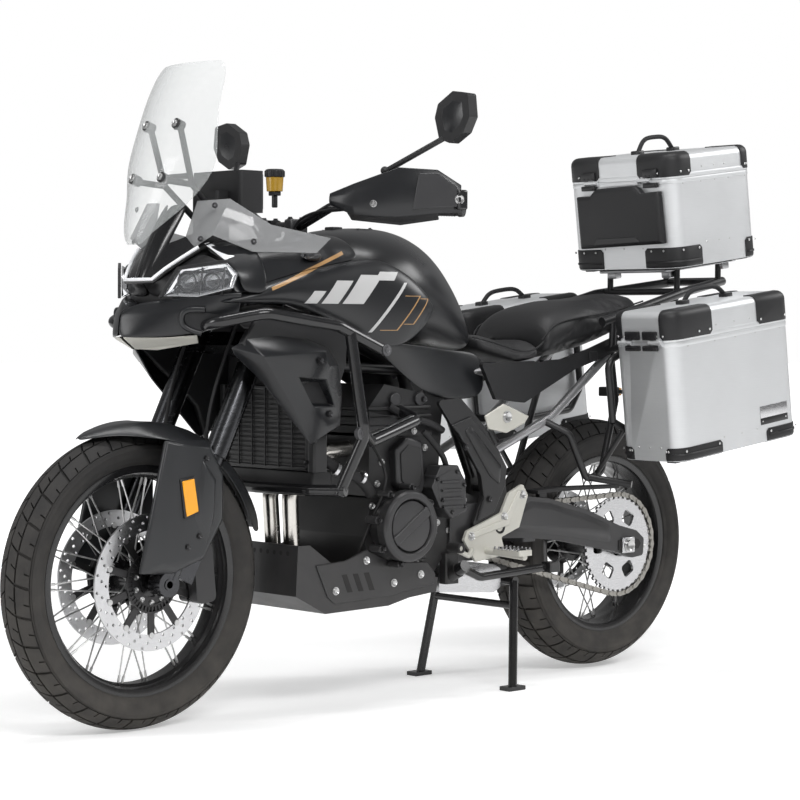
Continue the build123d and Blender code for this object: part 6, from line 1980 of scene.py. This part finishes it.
def case_caps(name, place, size, lid_body, rivets_lid, rivets_box):
    """Moulded caps on the corners of the lid and the box, with their ribs and rivets."""
    length, width, box_height, lid_height = size
    pannier = name.startswith("pannier")
    half = width / 2
    lid_reach = ((150, 138), 40) if pannier else ((74, 50), 119)
    box_reach = ((157, 131), 50) if pannier else ((96, 56), 112)
    cap_top = -box_height + (33 if pannier else 54)
    caps, feet, ribs = bmesh.new(), bmesh.new(), bmesh.new()
    for side in (1, -1):
        for is_front in (True, False):
            reach = lid_reach[0][0 if is_front else 1]
            shell = corner_shell(
                length, width, 5, lid_height + 2.2, CAP_WALL, 21, True, is_front, side, reach, lid_reach[1], 9
            )
            merge(caps, shell, place)
            reach = box_reach[0][0 if is_front else 1]
            shell = corner_shell(
                length, width, -box_height - 2.4, cap_top, CAP_WALL, 10, False, is_front, side, reach, box_reach[1], 8
            )
            merge(feet, shell, place)
            shell = corner_shell(
                length, width, -box_height + 14, -box_height + 19, CAP_WALL + 2.2, 0, False, is_front, side, reach - 8,
                box_reach[1] - 8, 0,
            )
            merge(ribs, shell, place)
            x = 12 if is_front else length - 52
            y = side * (half - 46)
            local_block(ribs, place, (x, x + 40), (y - 16, y + 16), (-box_height - 6, -box_height - 1.5), 2)
            # rivets in the caps
            for back in ((18, reach - 14) if is_front else (length - 18, length - reach + 14)):
                local_rivet(rivets_box, place, (back, side * (half + 4.4), cap_top - 8), (0, side, 0))
            far = lid_reach[0][0 if is_front else 1]
            for back in ((far - 52, far - 12) if is_front else (length - 30, length - far + 12)):
                local_rivet(rivets_lid, place, (max(back, 30), side * (half + 4.4), 17), (0, side, 0))
            end = -CAP_WALL - 1.8 if is_front else length + CAP_WALL + 1.8
            for y in (half - 48, half - min(lid_reach[1], 100) + 12):
                local_rivet(rivets_lid, place, (end, side * y, 16), (1 if is_front else -1, 0, 0))
            for y in (half - 46, half - min(box_reach[1], 100) + 12):
                local_rivet(rivets_box, place, (end, side * y, cap_top - 8), (1 if is_front else -1, 0, 0))
        for share in (0.12, 0.34, 0.51, 0.68, 0.89):
            local_rivet(rivets_box, place, (length * share, side * half, -14), (0, side, 0), 2.6, 1.2)
        for share in (0.36, 0.51, 0.64):
            local_rivet(rivets_lid, place, (length * share, side * half, 24), (0, side, 0), 2.6, 1.2)
            local_rivet(rivets_box, place, (length * share, side * half, cap_top + 4), (0, side, 0), 2.6, 1.2)
    for y in (-0.18, 0.0, 0.18):
        local_rivet(rivets_box, place, (0, width * y, cap_top), (1, 0, 0), 2.6, 1.2)
    make(f"{name}_lid_caps", caps, BLACK_PLASTIC, lid_body, wall=2.2, bevel=0.8, sharp=40, outward=False)
    make(f"{name}_box_caps", feet, BLACK_PLASTIC, "chassis", wall=2.2, bevel=0.8, sharp=40, outward=False)
    make(f"{name}_cap_ribs", ribs, BLACK_PLASTIC, "chassis", wall=2.0, sharp=40, outward=False)


def case_bands(name, place, length, width, lid_body):
    """Rolled bands each side of the seam."""
    for part, low, high, body in (("lid", 0.6, 12, lid_body), ("box", -12.5, -0.9, "chassis")):
        band = shell_of_case(length, width, low, high, 1.3, 40, 0, True)
        ends = [f for f in band.faces if abs(f.normal.z) > 0.9]
        bmesh.ops.delete(band, geom=ends, context="FACES")
        mesh = bmesh.new()
        merge(mesh, band, place)
        make(f"{name}_{part}_band", mesh, CASE_METAL, body, wall=1.2, bevel=0.5, outward=False)


def case_clasps(name, place, spots, lid_body):
    """Clasps over the seam, split where the lid opens."""
    upper, lower = bmesh.new(), bmesh.new()
    for y in spots:
        local_block(upper, place, (-9, -1.5), (y - 24, y + 24), (7, 28), 2.2)
        for k in (-14, 0, 14):
            local_block(upper, place, (-10.4, -8), (y + k - 3.5, y + k + 3.5), (9, 13), 0.6)
        local_block(lower, place, (-11, -1), (y - 24, y + 24), (-20, -7), 2.2)
        local_block(lower, place, (-14, -6), (y - 20, y + 20), (-17, -10), 2)
    make(f"{name}_lid_clasps", upper, FINE_PLASTIC, lid_body, sharp=30)
    make(f"{name}_box_clasps", lower, FINE_PLASTIC, "chassis", sharp=30)


def case_handle(name, place, top, feet_and_rise, lid_body):
    """An arched strap handle with a foot at each end."""
    start, end, rise = feet_and_rise
    arch = []
    for step in range(9):
        share = step / 8
        lift = rise * (1 - (2 * share - 1) ** 4) * 0.92
        arch.append((place @ Vector((-(start + (end - start) * share), 0, top + lift))) / MM)
    tube(f"{name}_handle", [tuple(p) for p in arch], 6.0, SOFT_RUBBER, lid_body)
    feet_mesh = bmesh.new()
    for x in (start, end):
        local_block(feet_mesh, place, (x - 14, x + 14), (-13, 13), (top - 3, top + 9), 3)
    make(f"{name}_handle_feet", feet_mesh, FINE_PLASTIC, lid_body, sharp=30)


def case_plate(name, place, half, outer, rivets_box):
    """A steel plate with a dark foot on a pannier's outer side."""
    plates, strip = bmesh.new(), bmesh.new()
    y = (outer * half, outer * (half + 1.2))
    local_block(plates, place, (312, 420), y, (-232, -202), 0.4)
    local_block(strip, place, (312, 420), y, (-249, -232.4), 0.4)
    make(f"{name}_plate", plates, STEEL, "chassis")
    make(f"{name}_plate_foot", strip, FINE_PLASTIC, "chassis")
    for x in (320, 412):
        local_rivet(rivets_box, place, (x, outer * (half + 1.2), -240.5), (0, outer, 0), 2.2, 1.0)


def dress_case(name, front, y_mid, length, width, box_height, lid_height, lid_body):
    """Everything that scene.py adds to one case, in the case's own axes."""
    pannier = name.startswith("pannier")
    kind = "pannier" if pannier else "top_case"
    place = case_place(front, y_mid)
    within = place @ Matrix.Diagonal((*CASE_SHRINK[kind], 1, 1))
    for part, body in (("box", "chassis"), ("lid", lid_body)):
        shell = from_node(f"{name}_{part}")
        bmesh.ops.transform(shell, matrix=within @ place.inverted(), verts=shell.verts)
        make(f"{name}_{part}_shell", shell, CASE_METAL, body, f"{name}_{part}")
    place = within
    rivets_lid, rivets_box = bmesh.new(), bmesh.new()
    case_caps(name, place, (length, width, box_height, lid_height), lid_body, rivets_lid, rivets_box)
    case_bands(name, place, length, width, lid_body)
    case_clasps(name, place, CLASP_SPOTS[kind], lid_body)
    case_handle(name, place, lid_height + 1, HANDLES[kind], lid_body)
    if pannier:
        case_plate(name, place, width / 2, 1 if y_mid >= 0 else -1, rivets_box)
    else:
        dress_backrest(place)
    make(f"{name}_lid_rivets", rivets_lid, BOLT_STEEL, lid_body, sharp=60)
    make(f"{name}_box_rivets", rivets_box, BOLT_STEEL, "chassis", sharp=60)


def raised_pad(outline, ahead, depth):
    """A flat outline of (side, up) on a case's front, raised towards the rider."""
    pad = bmesh.new()
    face = pad.faces.new([pad.verts.new((ahead, y, up)) for y, up in outline])
    top = verts_of(bmesh.ops.extrude_face_region(pad, geom=[face]))
    bmesh.ops.translate(pad, verts=top, vec=(depth, 0, 0))
    bmesh.ops.recalc_face_normals(pad, faces=pad.faces)
    return pad


def dress_backrest(place):
    """The moulded pad on the top case's front: shoulders cut low under the clasps, and a recess at its foot."""
    outline = (
        (-140, -34), (-92, -34), (-76, -20), (-62, -15), (62, -12), (76, -18), (90, -32), (148, -30),
        (152, -166), (-139, -174),
    )
    pad = raised_pad(outline, 0.6, 17)
    cap = max(pad.faces, key=lambda f: f.calc_center_median().x)
    bmesh.ops.inset_individual(pad, faces=[cap], thickness=9, depth=6, use_even_offset=True)
    mesh = bmesh.new()
    merge(mesh, pad, place)
    make("top_case_backrest", mesh, BLACK_PLASTIC, "chassis", bevel=2.5, sharp=50)
    foot = raised_pad(((-72, -147), (66, -145), (76, -160), (-84, -164)), 22.4, 3.2)
    mesh = bmesh.new()
    merge(mesh, foot, place)
    make("top_case_backrest_foot", mesh, FINE_PLASTIC, "chassis", bevel=1.5, sharp=50)


for case in CASES:
    dress_case(*case)
build_tail()


# ---------------------------------------------------------------- floor, lamps and the end
def lay_floor():
    mesh = bmesh.new()
    bmesh.ops.create_grid(mesh, x_segments=1, y_segments=1, size=40)
    data = bpy.data.meshes.new("floor")
    mesh.to_mesh(data)
    mesh.free()
    floor = add_object("floor", data)
    floor.location.z = CAD_BOUNDS[0][2] - 0.0005
    material, tree, shader = new_material(
        "pale floor", Roughness=0.9, Base_Color=(0.86, 0.86, 0.86, 1), Specular_IOR_Level=0.1
    )
    # painted light: the floor glows for camera, glossy and transmission rays, the more the farther it lies from the
    # middle, so that it fades into the white backdrop; the glow also shows in reflections on the machine
    rays = tree.nodes.new("ShaderNodeLightPath")
    seen = math_node(tree, "MAXIMUM", rays.outputs["Is Camera Ray"], rays.outputs["Is Glossy Ray"])
    seen = math_node(tree, "MAXIMUM", seen, rays.outputs["Is Transmission Ray"])
    where = object_place(tree)
    far = put(tree, "ShaderNodeVectorMath", {"operation": "LENGTH"}, i0=where).outputs["Value"]
    glow = span(tree, far, 1.3, 4.5, 0.36, 1.0)
    tree.links.new(math_node(tree, "MULTIPLY", seen, glow), shader.inputs["Emission Strength"])
    shader.inputs["Emission Color"].default_value = (1, 1, 1, 1)
    floor.data.materials.append(material)


def light_world():
    world = bpy.data.worlds.new("studio")
    bpy.context.scene.world = world
    world.use_nodes = True
    tree = world.node_tree
    rays = tree.nodes.new("ShaderNodeLightPath")
    seen = math_node(tree, "MAXIMUM", rays.outputs["Is Camera Ray"], rays.outputs["Is Transmission Ray"])
    strength = span(tree, seen, 0, 1, 0.30, 1.0)
    background = tree.nodes["Background"]
    background.inputs["Color"].default_value = (1, 1, 1, 1)
    tree.links.new(strength, background.inputs["Strength"])


lay_floor()
light_world()
soft_lamp("key lamp", (1.6, 3.6, 3.4), (0, 0, 0.6), (3.0, 0.8), 125)
soft_lamp("fill lamp", (4.4, -1.0, 2.2), (0.3, 0, 0.7), (1.2, 2.2), 55)
soft_lamp("back lamp", (-3.4, 1.6, 2.8), (-0.2, 0, 0.8), (2.0, 1.2), 50)
soft_lamp("top lamp", (0.2, 0.4, 4.2), (0, 0, 0.6), (3.6, 0.35), 85)
for name, node in NODES.items():
    if not node.data.materials:
        print("no finish:", name)
